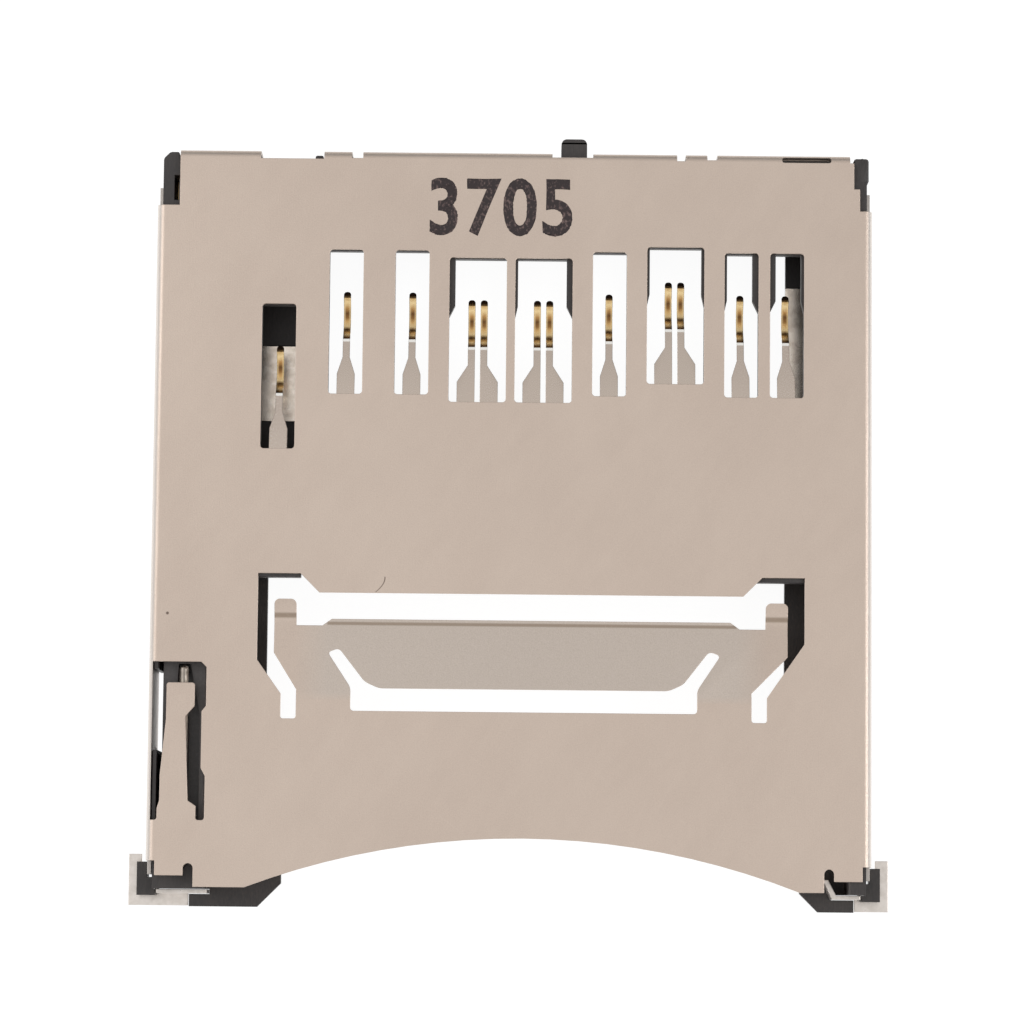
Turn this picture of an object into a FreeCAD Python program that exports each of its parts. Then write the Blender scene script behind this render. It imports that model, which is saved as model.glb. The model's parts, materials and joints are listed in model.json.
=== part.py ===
import FreeCAD, Part
import math
import os

import Sketcher

# Push-push SD card socket with its contacts above the card. Millimetres, X to the right, Y from the
# card mouth to the rear, Z up, and z = 0 on the circuit board.

doc = FreeCAD.newDocument("sd_card_socket")
sheet = doc.addObject("Spreadsheet::Sheet", "sizes")


class Size:
    """A length with its present value and the formula that gives it from the sheet."""

    def __init__(self, value, text):
        self.value = value
        self.text = text

    def __add__(self, other):
        other = as_size(other)
        return Size(self.value + other.value, f"({self.text} + {other.text})")

    def __sub__(self, other):
        other = as_size(other)
        return Size(self.value - other.value, f"({self.text} - {other.text})")

    def __mul__(self, other):
        other = as_size(other)
        return Size(self.value * other.value, f"({self.text} * {other.text})")

    def __truediv__(self, other):
        other = as_size(other)
        return Size(self.value / other.value, f"({self.text} / {other.text})")

    def __neg__(self):
        return Size(-self.value, f"(0 - {self.text})")

    def root(self):
        return Size(math.sqrt(self.value), f"sqrt({self.text})")

    __radd__ = __add__
    __rmul__ = __mul__


def as_size(number):
    return number if isinstance(number, Size) else Size(float(number), repr(float(number)))


def size(alias, value):
    """A driving dimension: one row of the sheet, with its name beside it."""
    row = size.rows = size.rows + 1
    sheet.set(f"A{row}", alias)
    sheet.set(f"B{row}", str(value))
    sheet.setAlias(f"B{row}", alias)
    return Size(float(value), f"sizes.{alias}")


size.rows = 0
ORIGIN = as_size(0)

# Card and the stack of levels above the board
card_width = size("card_width", 24.0)
card_thickness = size("card_thickness", 2.1)
floor_thickness = size("floor_thickness", 0.35)
card_gap_below = size("card_gap_below", 0.05)
card_gap_above = size("card_gap_above", 0.10)
carrier_thickness = size("carrier_thickness", 0.40)
carrier_web = size("carrier_web", 0.10)
cover_gap = size("cover_gap", 0.05)
cover_sheet = size("cover_sheet", 0.15)
card_top = floor_thickness + card_gap_below + card_thickness
carrier_low = card_top + card_gap_above
contact_low = carrier_low + carrier_web
housing_top = carrier_low + carrier_thickness
cover_low = housing_top + cover_gap
cover_top = cover_low + cover_sheet

# Cover: outline of the folded sheet
cover_rear = size("cover_rear", 14.30)
cover_front = size("cover_front", 13.67)
fold_radius = size("fold_radius", 0.30)
wall_foot = size("wall_foot", 0.30)
wall_front = cover_front - size("wall_setback", 0.97)
wall_end_front = wall_front + size("wall_end_reach", 0.50)
wall_end_top = size("wall_end_top", 2.20)
wall_end_gap = size("wall_end_gap", 0.10)
flange_depth = size("flange_depth", 1.30)

# Housing and slider: what lies between the card and the cover's side walls
wall_gap = size("wall_gap", 0.05)
left_wall = size("left_wall", 0.14)
right_wall = size("right_wall", 0.60)
bay_clearance = size("bay_clearance", 0.15)
slider_width = size("slider_width", 1.60)
slider_side_gap = size("slider_side_gap", 0.16)
left_margin = bay_clearance + slider_width + slider_side_gap + left_wall + wall_gap + cover_sheet
right_margin = bay_clearance + right_wall + wall_gap + cover_sheet
card_center = (left_margin - right_margin) / 2
card_left = card_center - card_width / 2
card_right = card_center + card_width / 2
half_cover = (card_width + left_margin + right_margin) / 2
wall_inside = half_cover - cover_sheet
half_housing = wall_inside - wall_gap
bay_right = card_right + bay_clearance
housing_rear = cover_rear - size("rear_overhang", 0.35)
housing_front = cover_front + size("lip_overhang", 0.72)
bay_end = cover_rear - size("rear_block_length", 2.20)

# Contacts: card pins 9, 1 to 8 from left to right
pin_one_offset = size("pin_one_offset", 7.02)
pin_pitch = size("pin_pitch", 2.50)
pin_eight_step = size("pin_eight_step", 1.73)
pin_nine_step = size("pin_nine_step", 2.53)
contact_sheet = size("contact_sheet", 0.12)
root_front = size("root_front", -1.00)
contact_gap = size("contact_gap", 0.02)

# Slider and its travel
slider_travel = size("slider_travel", 5.50)
slider_low_gap = size("slider_low_gap", 0.06)
slider_top_gap = size("slider_top_gap", 0.15)
slider_right = card_left - bay_clearance
slider_left = slider_right - slider_width
slider_low = floor_thickness + slider_low_gap
slider_top = carrier_low - slider_top_gap


class Arc:
    """The outline runs to (x, y) on an arc about a centre, of which one coordinate is bound."""

    def __init__(self, x, y, center_x, center_y, clockwise):
        self.x, self.y = as_size(x), as_size(y)
        self.center_x, self.center_y = as_size(center_x), as_size(center_y)
        self.clockwise = clockwise


class Disc:
    """A round outline."""

    def __init__(self, x, y, radius):
        self.x, self.y, self.radius = x, y, radius


def vector(x, y):
    return FreeCAD.Vector(x, y, 0)


def fix_point(constraints, element, point, x, y):
    """Holds a point of the sketch at two formulas of the sheet."""
    constraints.append((Sketcher.Constraint("DistanceX", element, point, x.value), x))
    constraints.append((Sketcher.Constraint("DistanceY", element, point, y.value), y))


def corner_cut(before, corner, after, radius):
    """Tangent points and centre of the round between two straight runs, for the first guess."""
    to_before = (before - corner).normalize()
    to_after = (after - corner).normalize()
    half_angle = to_before.getAngle(to_after) / 2
    reach = radius / math.tan(half_angle)
    middle = (to_before + to_after).normalize()
    return corner + to_before * reach, corner + to_after * reach, corner + middle * (radius / math.sin(half_angle))


def disc(sketch, round_hole):
    """Draws a circle whose centre and radius are bound."""
    x, y, radius = (as_size(value) for value in (round_hole.x, round_hole.y, round_hole.radius))
    circle = Part.Circle(vector(x.value, y.value), FreeCAD.Vector(0, 0, 1), radius.value)
    element = sketch.addGeometry(circle)
    bound = [(Sketcher.Constraint("Radius", element, radius.value), radius)]
    fix_point(bound, element, 3, x, y)
    bind(sketch, bound)


def bind(sketch, bound):
    """Adds constraints whose values are formulas of the sheet."""
    first = sketch.ConstraintCount
    sketch.addConstraint([constraint for constraint, length in bound])
    for index, (constraint, length) in enumerate(bound):
        sketch.setExpression(f"Constraints[{first + index}]", length.text)


def outline(sketch, corners):
    """Draws one closed outline. A corner is (x, y), (x, y, radius) or an Arc that ends there."""
    if isinstance(corners, Disc):
        disc(sketch, corners)
        return
    ends = []
    for corner in corners:
        if isinstance(corner, Arc):
            ends.append((corner.x, corner.y, None))
        else:
            radius = as_size(corner[2]) if len(corner) == 3 else None
            ends.append((as_size(corner[0]), as_size(corner[1]), radius))
    places = [vector(x.value, y.value) for x, y, radius in ends]
    count = len(ends)
    starts, stops, rounds = list(places), list(places), [None] * count
    for i, (x, y, radius) in enumerate(ends):
        if radius is not None:
            cut = corner_cut(places[i - 1], places[i], places[(i + 1) % count], radius.value)
            stops[i], starts[i] = cut[0], cut[1]
            rounds[i] = cut[2]
    plain, bound, runs = [], [], []
    for i in range(count):
        after = (i + 1) % count
        arc = corners[after] if isinstance(corners[after], Arc) else None
        if arc is None:
            element = sketch.addGeometry(Part.LineSegment(starts[i], stops[after]))
            runs.append((element, 1, 2))
            continue
        center = vector(arc.center_x.value, arc.center_y.value)
        radius = (starts[i] - center).Length
        angles = [math.atan2(p.y - center.y, p.x - center.x) for p in (starts[i], stops[after])]
        if arc.clockwise:
            angles.reverse()
        if angles[1] < angles[0]:
            angles[1] += 2 * math.pi
        circle = Part.Circle(center, FreeCAD.Vector(0, 0, 1), radius)
        element = sketch.addGeometry(Part.ArcOfCircle(circle, angles[0], angles[1]))
        runs.append((element, 2, 1) if arc.clockwise else (element, 1, 2))
        chord = places[after] - places[i]
        if abs(chord.x) > abs(chord.y):
            bound.append((Sketcher.Constraint("DistanceY", element, 3, center.y), arc.center_y))
        else:
            bound.append((Sketcher.Constraint("DistanceX", element, 3, center.x), arc.center_x))
    for i, (x, y, radius) in enumerate(ends):
        run_in, run_out = runs[i - 1], runs[i]
        if radius is None:
            plain.append(Sketcher.Constraint("Coincident", run_in[0], run_in[2], run_out[0], run_out[1]))
            fix_point(bound, run_out[0], run_out[1], x, y)
            continue
        center = rounds[i]
        first = math.atan2(stops[i].y - center.y, stops[i].x - center.x)
        last = math.atan2(starts[i].y - center.y, starts[i].x - center.x)
        turn = (last - first) % (2 * math.pi)
        clockwise = turn > math.pi
        span = (last, first) if clockwise else (first, last)
        span = (span[0], span[1] + 2 * math.pi) if span[1] < span[0] else span
        circle = Part.Circle(center, FreeCAD.Vector(0, 0, 1), radius.value)
        element = sketch.addGeometry(Part.ArcOfCircle(circle, span[0], span[1]))
        begin, finish = (2, 1) if clockwise else (1, 2)
        plain.append(Sketcher.Constraint("Tangent", run_in[0], run_in[2], element, begin))
        plain.append(Sketcher.Constraint("Tangent", element, finish, run_out[0], run_out[1]))
        bound.append((Sketcher.Constraint("Radius", element, radius.value), radius))
        point = sketch.addGeometry(Part.Point(places[i]), True)
        plain.append(Sketcher.Constraint("PointOnObject", point, 1, run_in[0]))
        plain.append(Sketcher.Constraint("PointOnObject", point, 1, run_out[0]))
        fix_point(bound, point, 1, x, y)
    sketch.addConstraint(plain)
    bind(sketch, bound)


def new_sketch(owner, role, name, level):
    """A sketch on an origin plane of its own body, lifted along that plane's normal."""
    sketch = owner.newObject("Sketcher::SketchObject", name)
    plane = next(feature for feature in owner.Origin.OriginFeatures if feature.Role == role)
    sketch.AttachmentSupport = [(plane, "")]
    sketch.MapMode = "FlatFace"
    sketch.setExpression("AttachmentOffset.Base.z", as_size(level).text)
    return sketch


def new_body(label):
    body = doc.addObject("PartDesign::Body", label)
    body.Label = label
    return body


def pad(body, name, outlines, low, high, role="XY_Plane"):
    """Fills the outlines between two levels along the normal of the plane."""
    sketch = new_sketch(body, role, f"{name}_outline", low)
    for corners in outlines:
        outline(sketch, corners)
    feature = body.newObject("PartDesign::Pad", name)
    feature.Profile = sketch
    feature.setExpression("Length", (as_size(high) - as_size(low)).text)
    body.Tip = feature
    return feature


def pocket(body, name, outlines, low, high, role="XY_Plane"):
    """Cuts the outlines between two levels along the normal of the plane."""
    sketch = new_sketch(body, role, f"{name}_outline", high)
    for corners in outlines:
        outline(sketch, corners)
    feature = body.newObject("PartDesign::Pocket", name)
    feature.Profile = sketch
    feature.setExpression("Length", (as_size(high) - as_size(low)).text)
    body.Tip = feature
    cuts.append(feature)
    return feature


cuts = []


def box_outline(x_low, x_high, y_low, y_high, radius=None):
    corners = [(x_low, y_low), (x_high, y_low), (x_high, y_high), (x_low, y_high)]
    return corners if radius is None else [(x, y, radius) for x, y in corners]


def mirrored(center, half):
    """A list of corners (distance from the centre line, y, radius) and its mirror image, closed."""
    right = [(center + corner[0],) + tuple(corner[1:]) for corner in half]
    left = [(center - corner[0],) + tuple(corner[1:]) for corner in reversed(half)]
    return right + left


def joined(label, pieces):
    """One solid out of several that share faces."""
    fuse = doc.addObject("Part::MultiFuse", label)
    fuse.Label = label
    fuse.Shapes = pieces
    return fuse


# Contact windows of the cover
window_width = size("window_width", 1.29)
twin_window_width = size("twin_window_width", 2.17)
window_length = size("window_length", 5.53)
window_front = size("window_front", 4.97)
twin_window_front = size("twin_window_front", 4.70)
six_window_front = size("six_window_front", 5.46)
six_window_length = size("six_window_length", 5.25)
nine_window_front = size("nine_window_front", 2.86)
window_corner = size("window_corner", 0.13)

# The moulded carrier shows as a narrow lip inside some windows
lip = size("lip", 0.10)
wide_lip = size("wide_lip", 0.22)
lip_rear = size("lip_rear", 0.03)
lip_length = size("lip_length", 1.80)
lip_taper = size("lip_taper", 0.45)
carrier_window_front_gap = size("carrier_window_front_gap", 0.10)

# Contact beam and lead
base_width = size("base_width", 0.68)
neck_width = size("neck_width", 0.27)
twin_base_width = size("twin_base_width", 1.56)
twin_slit = size("twin_slit", 0.20)
slit_root = size("slit_root", 0.40)
flare_start = size("flare_start", 0.83)
flare_end = size("flare_end", 1.49)
bend_reach = size("bend_reach", 2.21)
apex_reach = size("apex_reach", 3.05)
rise_reach = size("rise_reach", 3.82)
tip_reach = size("tip_reach", 4.08)
bend_drop = size("bend_drop", 0.42)
apex_drop = size("apex_drop", 1.30)
tip_drop = size("tip_drop", 0.70)
tip_fall = size("tip_fall", 0.14)
apex_radius = size("apex_radius", 1.05)
bend_start = size("bend_start", 0.10)
lead_width = size("lead_width", 0.24)
lead_bar = size("lead_bar", 0.60)
lead_inset = size("lead_inset", 0.45)
lead_drop_inset = size("lead_drop_inset", 0.45)


class Contact:
    """Places of one contact: its centre line, its window and the line of its lead."""

    def __init__(self, pin, x, front, length, lips, twin=False):
        self.pin = pin
        self.x = x
        self.front = front
        self.rear = front + length
        self.left_lip, self.right_lip = lips
        self.twin = twin
        self.half_window = (twin_window_width if twin else window_width) / 2
        self.half_base = (twin_base_width if twin else base_width) / 2


pin_one = card_center - pin_one_offset
pin_seven = pin_one + 6 * pin_pitch
bare = ORIGIN
contacts = [
    Contact("9", pin_one - pin_nine_step, nine_window_front, window_length, (bare, bare)),
    Contact("1", pin_one, window_front, window_length, (bare, bare)),
    Contact("2", pin_one + pin_pitch, window_front, window_length, (bare, bare)),
    Contact("3", pin_one + 2 * pin_pitch, twin_window_front, window_length, (wide_lip, bare), twin=True),
    Contact("4", pin_one + 3 * pin_pitch, twin_window_front, window_length, (lip, wide_lip), twin=True),
    Contact("5", pin_one + 4 * pin_pitch, window_front, window_length, (bare, bare)),
    Contact("6", pin_one + 5 * pin_pitch, six_window_front, six_window_length, (lip, lip), twin=True),
    Contact("7", pin_seven, window_front, window_length, (lip, wide_lip)),
    Contact("8", pin_seven + pin_eight_step, window_front, window_length, (wide_lip, lip)),
]
left_lead_count = 4
for place, contact in enumerate(contacts):
    if place == 0:
        contact.lead = contact.x - contact.half_window - lead_inset
    elif place < left_lead_count:
        before = contacts[place - 1]
        contact.lead = (before.x + before.half_window + contact.x - contact.half_window) / 2
    elif place < len(contacts) - 1:
        after = contacts[place + 1]
        contact.lead = (contact.x + contact.half_window + after.x - after.half_window) / 2
    else:
        contact.lead = contact.x + contact.half_window + lead_inset


def contact_frame(contact, spare, lead_end):
    """Plan of the flat part: root pad, cross bar and lead, grown by a spare width on each side."""
    bar_front = root_front - spare
    bar_rear = root_front + lead_bar + spare
    root_left = contact.x - contact.half_base - spare
    root_right = contact.x + contact.half_base + spare
    lead_left = contact.lead - lead_width / 2 - spare
    lead_right = contact.lead + lead_width / 2 + spare
    root_rear = contact.front + bend_start
    if contact.lead.value < contact.x.value:
        return [
            (lead_left, bar_front), (root_right, bar_front), (root_right, root_rear),
            (root_left, root_rear), (root_left, bar_rear), (lead_right, bar_rear),
            (lead_right, lead_end), (lead_left, lead_end),
        ]
    return [
        (root_left, bar_front), (lead_right, bar_front), (lead_right, lead_end),
        (lead_left, lead_end), (lead_left, bar_rear), (root_right, bar_rear),
        (root_right, root_rear), (root_left, root_rear),
    ]


lead_drop = housing_rear - lead_drop_inset


def build_contact(contact):
    """A stamped strip: flat root in the carrier, sprung beam to the card, lead down to its solder foot."""
    body = new_body(f"contact_{contact.pin}")
    high = contact_low + contact_sheet
    pad(body, f"frame_{contact.pin}", [contact_frame(contact, ORIGIN, lead_drop)], contact_low, high)
    lead_left = contact.lead - lead_width / 2
    lead_right = contact.lead + lead_width / 2
    drop = box_outline(lead_left, lead_right, lead_drop - contact_sheet, lead_drop)
    pad(body, f"drop_{contact.pin}", [drop], ORIGIN, contact_low)
    foot = box_outline(lead_left, lead_right, lead_drop, housing_rear)
    pad(body, f"foot_{contact.pin}", [foot], ORIGIN, contact_sheet)
    beam = [
        (contact.front + bend_start, contact_low),
        (contact.front + bend_reach, contact_low - bend_drop),
        (contact.front + apex_reach, contact_low - apex_drop, apex_radius),
        (contact.front + rise_reach, contact_low - tip_drop),
        (contact.front + tip_reach, contact_low - tip_drop - tip_fall),
    ]
    above = [(corner[0], corner[1] + contact_sheet) + tuple(corner[2:]) for corner in reversed(beam)]
    above[2] = (above[2][0], above[2][1], apex_radius - contact_sheet)
    half = contact.half_base
    pad(body, f"beam_{contact.pin}", [beam + above], contact.x - half, contact.x + half, "YZ_Plane")
    inner = twin_slit / 2 if contact.twin else ORIGIN - neck_width / 2
    neck = inner + neck_width
    beyond = contact.front + tip_reach + contact_sheet
    past = half + contact_sheet
    side = [
        (neck, beyond), (past, beyond), (past, contact.front + flare_start),
        (half, contact.front + flare_start), (neck, contact.front + flare_end),
    ]
    trims = [[(contact.x + x, y) for x, y in side], [(contact.x - x, y) for x, y in side]]
    if contact.twin:
        slit = twin_slit / 2
        trims.append(box_outline(contact.x - slit, contact.x + slit, contact.front - slit_root, beyond))
    pocket(body, f"neck_{contact.pin}", trims, contact_low - apex_drop - contact_sheet, cover_low)
    return body


# Cover, its contact windows, cut-outs and the two springs that stay in its sheet
ARC_RUNS = 12
arc_center = size("arc_center", 0.50)
arc_half = half_cover - size("arc_inset", 3.2)
arc_depth = size("arc_depth", 1.92)
corner_tab_front = cover_front - size("corner_tab_setback", 0.42)
corner_tab_half = half_cover - size("corner_tab_inset", 0.35)
mouth_slot_center = half_cover - size("mouth_slot_inset", 1.6)
mouth_slot_width = size("mouth_slot_width", 0.38)
mouth_slot_top = cover_front - size("mouth_slot_length", 0.88)
corner_half = half_cover - size("corner_inset", 0.85)
corner_front = cover_rear - size("corner_length", 2.15)
corner_wall_rear = cover_rear - size("corner_wall_setback", 1.3)
corner_wall_top = size("corner_wall_top", 2.00)
rear_slot_depth = size("rear_slot_depth", 0.28)
wide_notch_left = size("wide_notch_left", -9.69)
wide_notch_right = size("wide_notch_right", -7.28)
left_slot_left = size("left_slot_left", -6.22)
left_slot_right = size("left_slot_right", -5.80)
right_slot_left = size("right_slot_left", 6.16)
right_slot_right = size("right_slot_right", 6.50)
right_notch_left = size("right_notch_left", 7.31)
right_notch_right = size("right_notch_right", 7.70)
lens_left = half_cover - size("slit_inset_left", 3.44)
lens_right = half_cover - size("slit_inset_right", 1.57)
lens_width = size("lens_width", 0.20)
slit_setback = size("slit_setback", 0.10)
slit_round = size("slit_round", 0.08)
wide_notch_extra = size("wide_notch_extra", 0.04)
peg_notch_rise = size("peg_notch_rise", 0.10)
right_notch_rise = size("right_notch_rise", 0.05)
right_corner_step = size("right_corner_step", 0.375)
peg_center = size("peg_center", 2.19)
peg_width = size("peg_width", 0.95)
peg_root_width = size("peg_root_width", 1.22)
peg_reach = size("peg_reach", 0.94)
peg_low = size("peg_low", 2.05)
peg_gap = size("peg_gap", 0.17)

# Latch windows in the side walls of the cover, with a lug of the housing in each
latch_front = size("latch_front", -9.20)
latch_rear = size("latch_rear", 7.60)
latch_length = size("latch_length", 1.60)
latch_low = size("latch_low", 0.90)
latch_height = size("latch_height", 0.80)
latch_gap = size("latch_gap", 0.05)

# Card brake spring: plate in the middle of the cover, carried by two arms
brake_arm_center = size("brake_arm_center", 0.51)
brake_slot_center = size("brake_slot_center", 0.76)
brake_root = size("brake_root", 7.03)
brake_slot_rear = size("brake_slot_rear", 1.87)
brake_slot_step = size("brake_slot_step", 0.71)
brake_opening_half = half_cover - size("brake_opening_inset", 3.3)
brake_step_half = size("brake_step_half", 8.70)
brake_step_end = size("brake_step_end", 7.99)
side_slot_outer = size("side_slot_outer", 9.14)
side_slot_bottom = size("side_slot_bottom", 7.34)
side_slot_bend = size("side_slot_bend", 6.40)
arm_outer = size("arm_outer", 8.56)
arm_inner = size("arm_inner", 6.52)
arm_bend = size("arm_bend", 6.24)
tab_outer = size("tab_outer", 9.68)
tab_inner = size("tab_inner", 8.85)
tab_rear = size("tab_rear", 2.82)
tab_root = size("tab_root", 4.85)
tab_slot_inner = size("tab_slot_inner", 7.87)
tab_slot_front = size("tab_slot_front", 3.80)
plate_rear = size("plate_rear", 3.55)
plate_front = size("plate_front", 6.17)
plate_front_half = size("plate_front_half", 5.45)
slot_finger_in = size("slot_finger_in", 6.00)
slot_finger_low = size("slot_finger_low", 5.92)
slot_end_outer = size("slot_end_outer", 7.40)
slot_end_inner = size("slot_end_inner", 6.98)
slot_end_rear = size("slot_end_rear", 4.66)
brake_bend = size("brake_bend", 6.78)
brake_drop = size("brake_drop", 0.42)
brake_lip = size("brake_lip", 3.75)
brake_lip_rise = size("brake_lip_rise", 0.25)
small_round = size("small_round", 0.10)
opening_bevel = size("opening_bevel", 0.20)
step_rise = size("step_rise", 0.30)
tab_round = size("tab_round", 0.20)
slot_end_step = size("slot_end_step", 0.15)
left_slot_rise = size("left_slot_rise", 1.27)
right_slot_rise = size("right_slot_rise", 2.04)
plate_rear_half = size("plate_rear_half", 7.52)

# Cam follower: bent wire above the slider
slider_center = (slider_left + slider_right) / 2
slider_line = -slider_center
follower_radius = size("follower_radius", 0.18)
follower_gap = size("follower_gap", 0.07)
follower_pivot = cover_front - size("pivot_setback", 0.92)
follower_tip = follower_pivot - size("follower_length", 7.25)

# Finger in the cover that holds the cam follower down
finger_opening_rear = follower_tip - size("finger_opening_past_tip", 0.26)
finger_opening_front = follower_tip + size("finger_opening_reach", 5.68)
finger_opening_right = slider_line - size("finger_opening_side", 0.88)
finger_opening_narrow = slider_line - size("finger_narrow_side", 0.72)
finger_step_front = follower_tip + size("finger_step_front_reach", 1.6)
finger_step_rear = follower_tip + size("finger_step_rear_reach", 3.73)
finger_root = follower_tip + size("finger_root_reach", 4.95)
finger_tip = follower_tip + size("finger_tip_setback", 0.52)
finger_left = slider_line + size("finger_left_side", 0.62)
finger_right = slider_line - size("finger_right_side", 0.44)
finger_neck_right = slider_line - size("finger_neck_side", 0.1)
finger_root_left = slider_line + size("finger_root_left_side", 0.81)
finger_root_right = slider_line - size("finger_root_right_side", 0.25)
finger_slot_left = slider_line + size("finger_slot_left_side", 0.9)
finger_slot_right = slider_line - size("finger_slot_right_side", 0.55)
finger_bend = follower_tip + size("finger_bend_reach", 4.4)
finger_drop = size("finger_drop", 0.14)
finger_shoulder = size("finger_shoulder", 0.40)


def cover_profile():
    """Cross-section of the folded sheet: a wide flat U that opens downwards."""
    inner = wall_inside
    flat = half_cover - fold_radius
    fold_center = cover_top - fold_radius
    return [
        (-half_cover, wall_foot), (-inner, wall_foot), (-inner, fold_center),
        Arc(-flat, cover_low, -flat, fold_center, True), (flat, cover_low),
        Arc(inner, fold_center, flat, fold_center, True), (inner, wall_foot),
        (half_cover, wall_foot), (half_cover, fold_center),
        Arc(flat, cover_top, flat, fold_center, False), (-flat, cover_top),
        Arc(-half_cover, fold_center, -flat, fold_center, False),
    ]


def flange_profile():
    """Side view of the sheet's rear edge, folded down."""
    start = cover_rear - fold_radius
    fold_center = cover_top - fold_radius
    foot = cover_top - flange_depth
    inner = cover_rear - cover_sheet
    return [
        (start, cover_low), Arc(inner, fold_center, start, fold_center, True), (inner, foot),
        (cover_rear, foot), (cover_rear, fold_center),
        Arc(start, cover_top, start, fold_center, False),
    ]


def finger_opening():
    left = -wall_inside
    return [
        (left, -finger_opening_rear), (-finger_opening_right - opening_bevel, -finger_opening_rear),
        (-finger_opening_right, -finger_opening_rear - opening_bevel),
        (-finger_opening_right, -finger_step_front + opening_bevel),
        (-finger_opening_narrow, -finger_step_front), (-finger_opening_narrow, -finger_step_rear),
        (-finger_opening_right, -finger_step_rear - step_rise),
        (-finger_opening_right, -finger_opening_front, small_round),
        (-finger_slot_right, -finger_opening_front, small_round),
        (-finger_slot_right, -finger_root - opening_bevel),
        (-finger_root_right, -finger_root), (-finger_root_left, -finger_root),
        (-finger_slot_left, -finger_root - step_rise),
        (-finger_slot_left, -finger_opening_front, small_round), (left, -finger_opening_front),
    ]


def finger_plan():
    return [
        (-finger_root_right, -finger_root), (-finger_neck_right, -finger_step_front - opening_bevel),
        (-finger_right, -finger_step_front + opening_bevel), (-finger_right, -finger_tip, small_round),
        (-finger_left, -finger_tip, small_round), (-finger_left, -finger_step_front - step_rise),
        (-finger_root_left, -finger_bend + finger_shoulder), (-finger_root_left, -finger_root),
    ]


def brake_opening():
    """Outer edge of the slots round the card brake spring."""
    right_edge = brake_slot_center + brake_opening_half
    left_edge = brake_slot_center - brake_opening_half
    arm_right = brake_arm_center + side_slot_outer
    arm_left = brake_arm_center - side_slot_outer
    slot_right = brake_arm_center + arm_outer
    slot_left = brake_arm_center - arm_outer
    step_rear = -brake_slot_rear - brake_slot_step
    return [
        (left_edge, -brake_slot_rear), (brake_slot_center - brake_step_half, -brake_slot_rear),
        (brake_slot_center - brake_step_end, step_rear), (brake_slot_center + brake_step_end, step_rear),
        (brake_slot_center + brake_step_half, -brake_slot_rear), (right_edge, -brake_slot_rear),
        (right_edge, right_slot_rise - side_slot_bend), (arm_right, -side_slot_bend),
        (arm_right, -side_slot_bottom, small_round), (slot_right, -side_slot_bottom, small_round),
        (slot_right, -brake_root), (slot_left, -brake_root),
        (slot_left, -side_slot_bottom, small_round), (arm_left, -side_slot_bottom, small_round),
        (arm_left, -side_slot_bend), (left_edge, left_slot_rise - side_slot_bend),
    ]


def brake_plan():
    """Plate, its two rear tabs and the two arms, as flat outline."""
    slot_rear = mirrored(brake_slot_center, [
        (plate_rear_half, -plate_rear),
        (tab_slot_inner, -tab_slot_front), (tab_inner, -tab_slot_front),
        (tab_inner, -tab_rear, tab_round), (tab_outer, -tab_rear, tab_round),
        (tab_outer, -tab_root),
    ])
    arms = mirrored(brake_arm_center, [
        (arm_outer, -arm_bend), (arm_outer, -brake_root), (arm_inner, -brake_root),
        (arm_inner, -arm_bend + small_round), (slot_end_outer, -slot_end_rear - slot_end_step),
        (slot_end_inner, -slot_end_rear), (slot_finger_in, -slot_finger_low),
        (plate_front_half, -plate_front),
    ])
    half = len(slot_rear) // 2
    return slot_rear[:half] + arms + slot_rear[half:]


def sloped_sheet(name, plan, side, x_low, x_high):
    """Sheet metal of a given flat outline, bent as a side view says: both extruded, and what they share."""
    level = cover_low - brake_drop - cover_sheet
    flat = doc.addObject("Sketcher::SketchObject", f"{name}_plan")
    flat.setExpression("Placement.Base.z", level.text)
    outline(flat, plan)
    upright = doc.addObject("Sketcher::SketchObject", f"{name}_side")
    turn = FreeCAD.Rotation(FreeCAD.Vector(0, 1, 0), FreeCAD.Vector(0, 0, 1), FreeCAD.Vector(1, 0, 0), "ZXY")
    upright.Placement = FreeCAD.Placement(FreeCAD.Vector(0, 0, 0), turn)
    upright.setExpression("Placement.Base.x", x_low.text)
    outline(upright, side)
    blocks = []
    for sketch, length in ((flat, cover_top - level), (upright, x_high - x_low)):
        block = doc.addObject("Part::Extrusion", f"{sketch.Name}_block")
        block.Base = sketch
        block.DirMode = "Normal"
        block.Solid = True
        block.setExpression("LengthFwd", length.text)
        blocks.append(block)
    shared = doc.addObject("Part::Common", name)
    shared.Base, shared.Tool = blocks
    return shared


def bent_side(points):
    """Closed side view of a sheet from its lower edge, given as (y, fall below the cover)."""
    low = [(y, cover_low - fall) for y, fall in points]
    return low + [(y, z + cover_sheet) for y, z in reversed(low)]


def rear_cut(x_low, x_high, depth):
    return box_outline(x_low, x_high, cover_rear - depth, cover_rear + cover_sheet)


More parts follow.
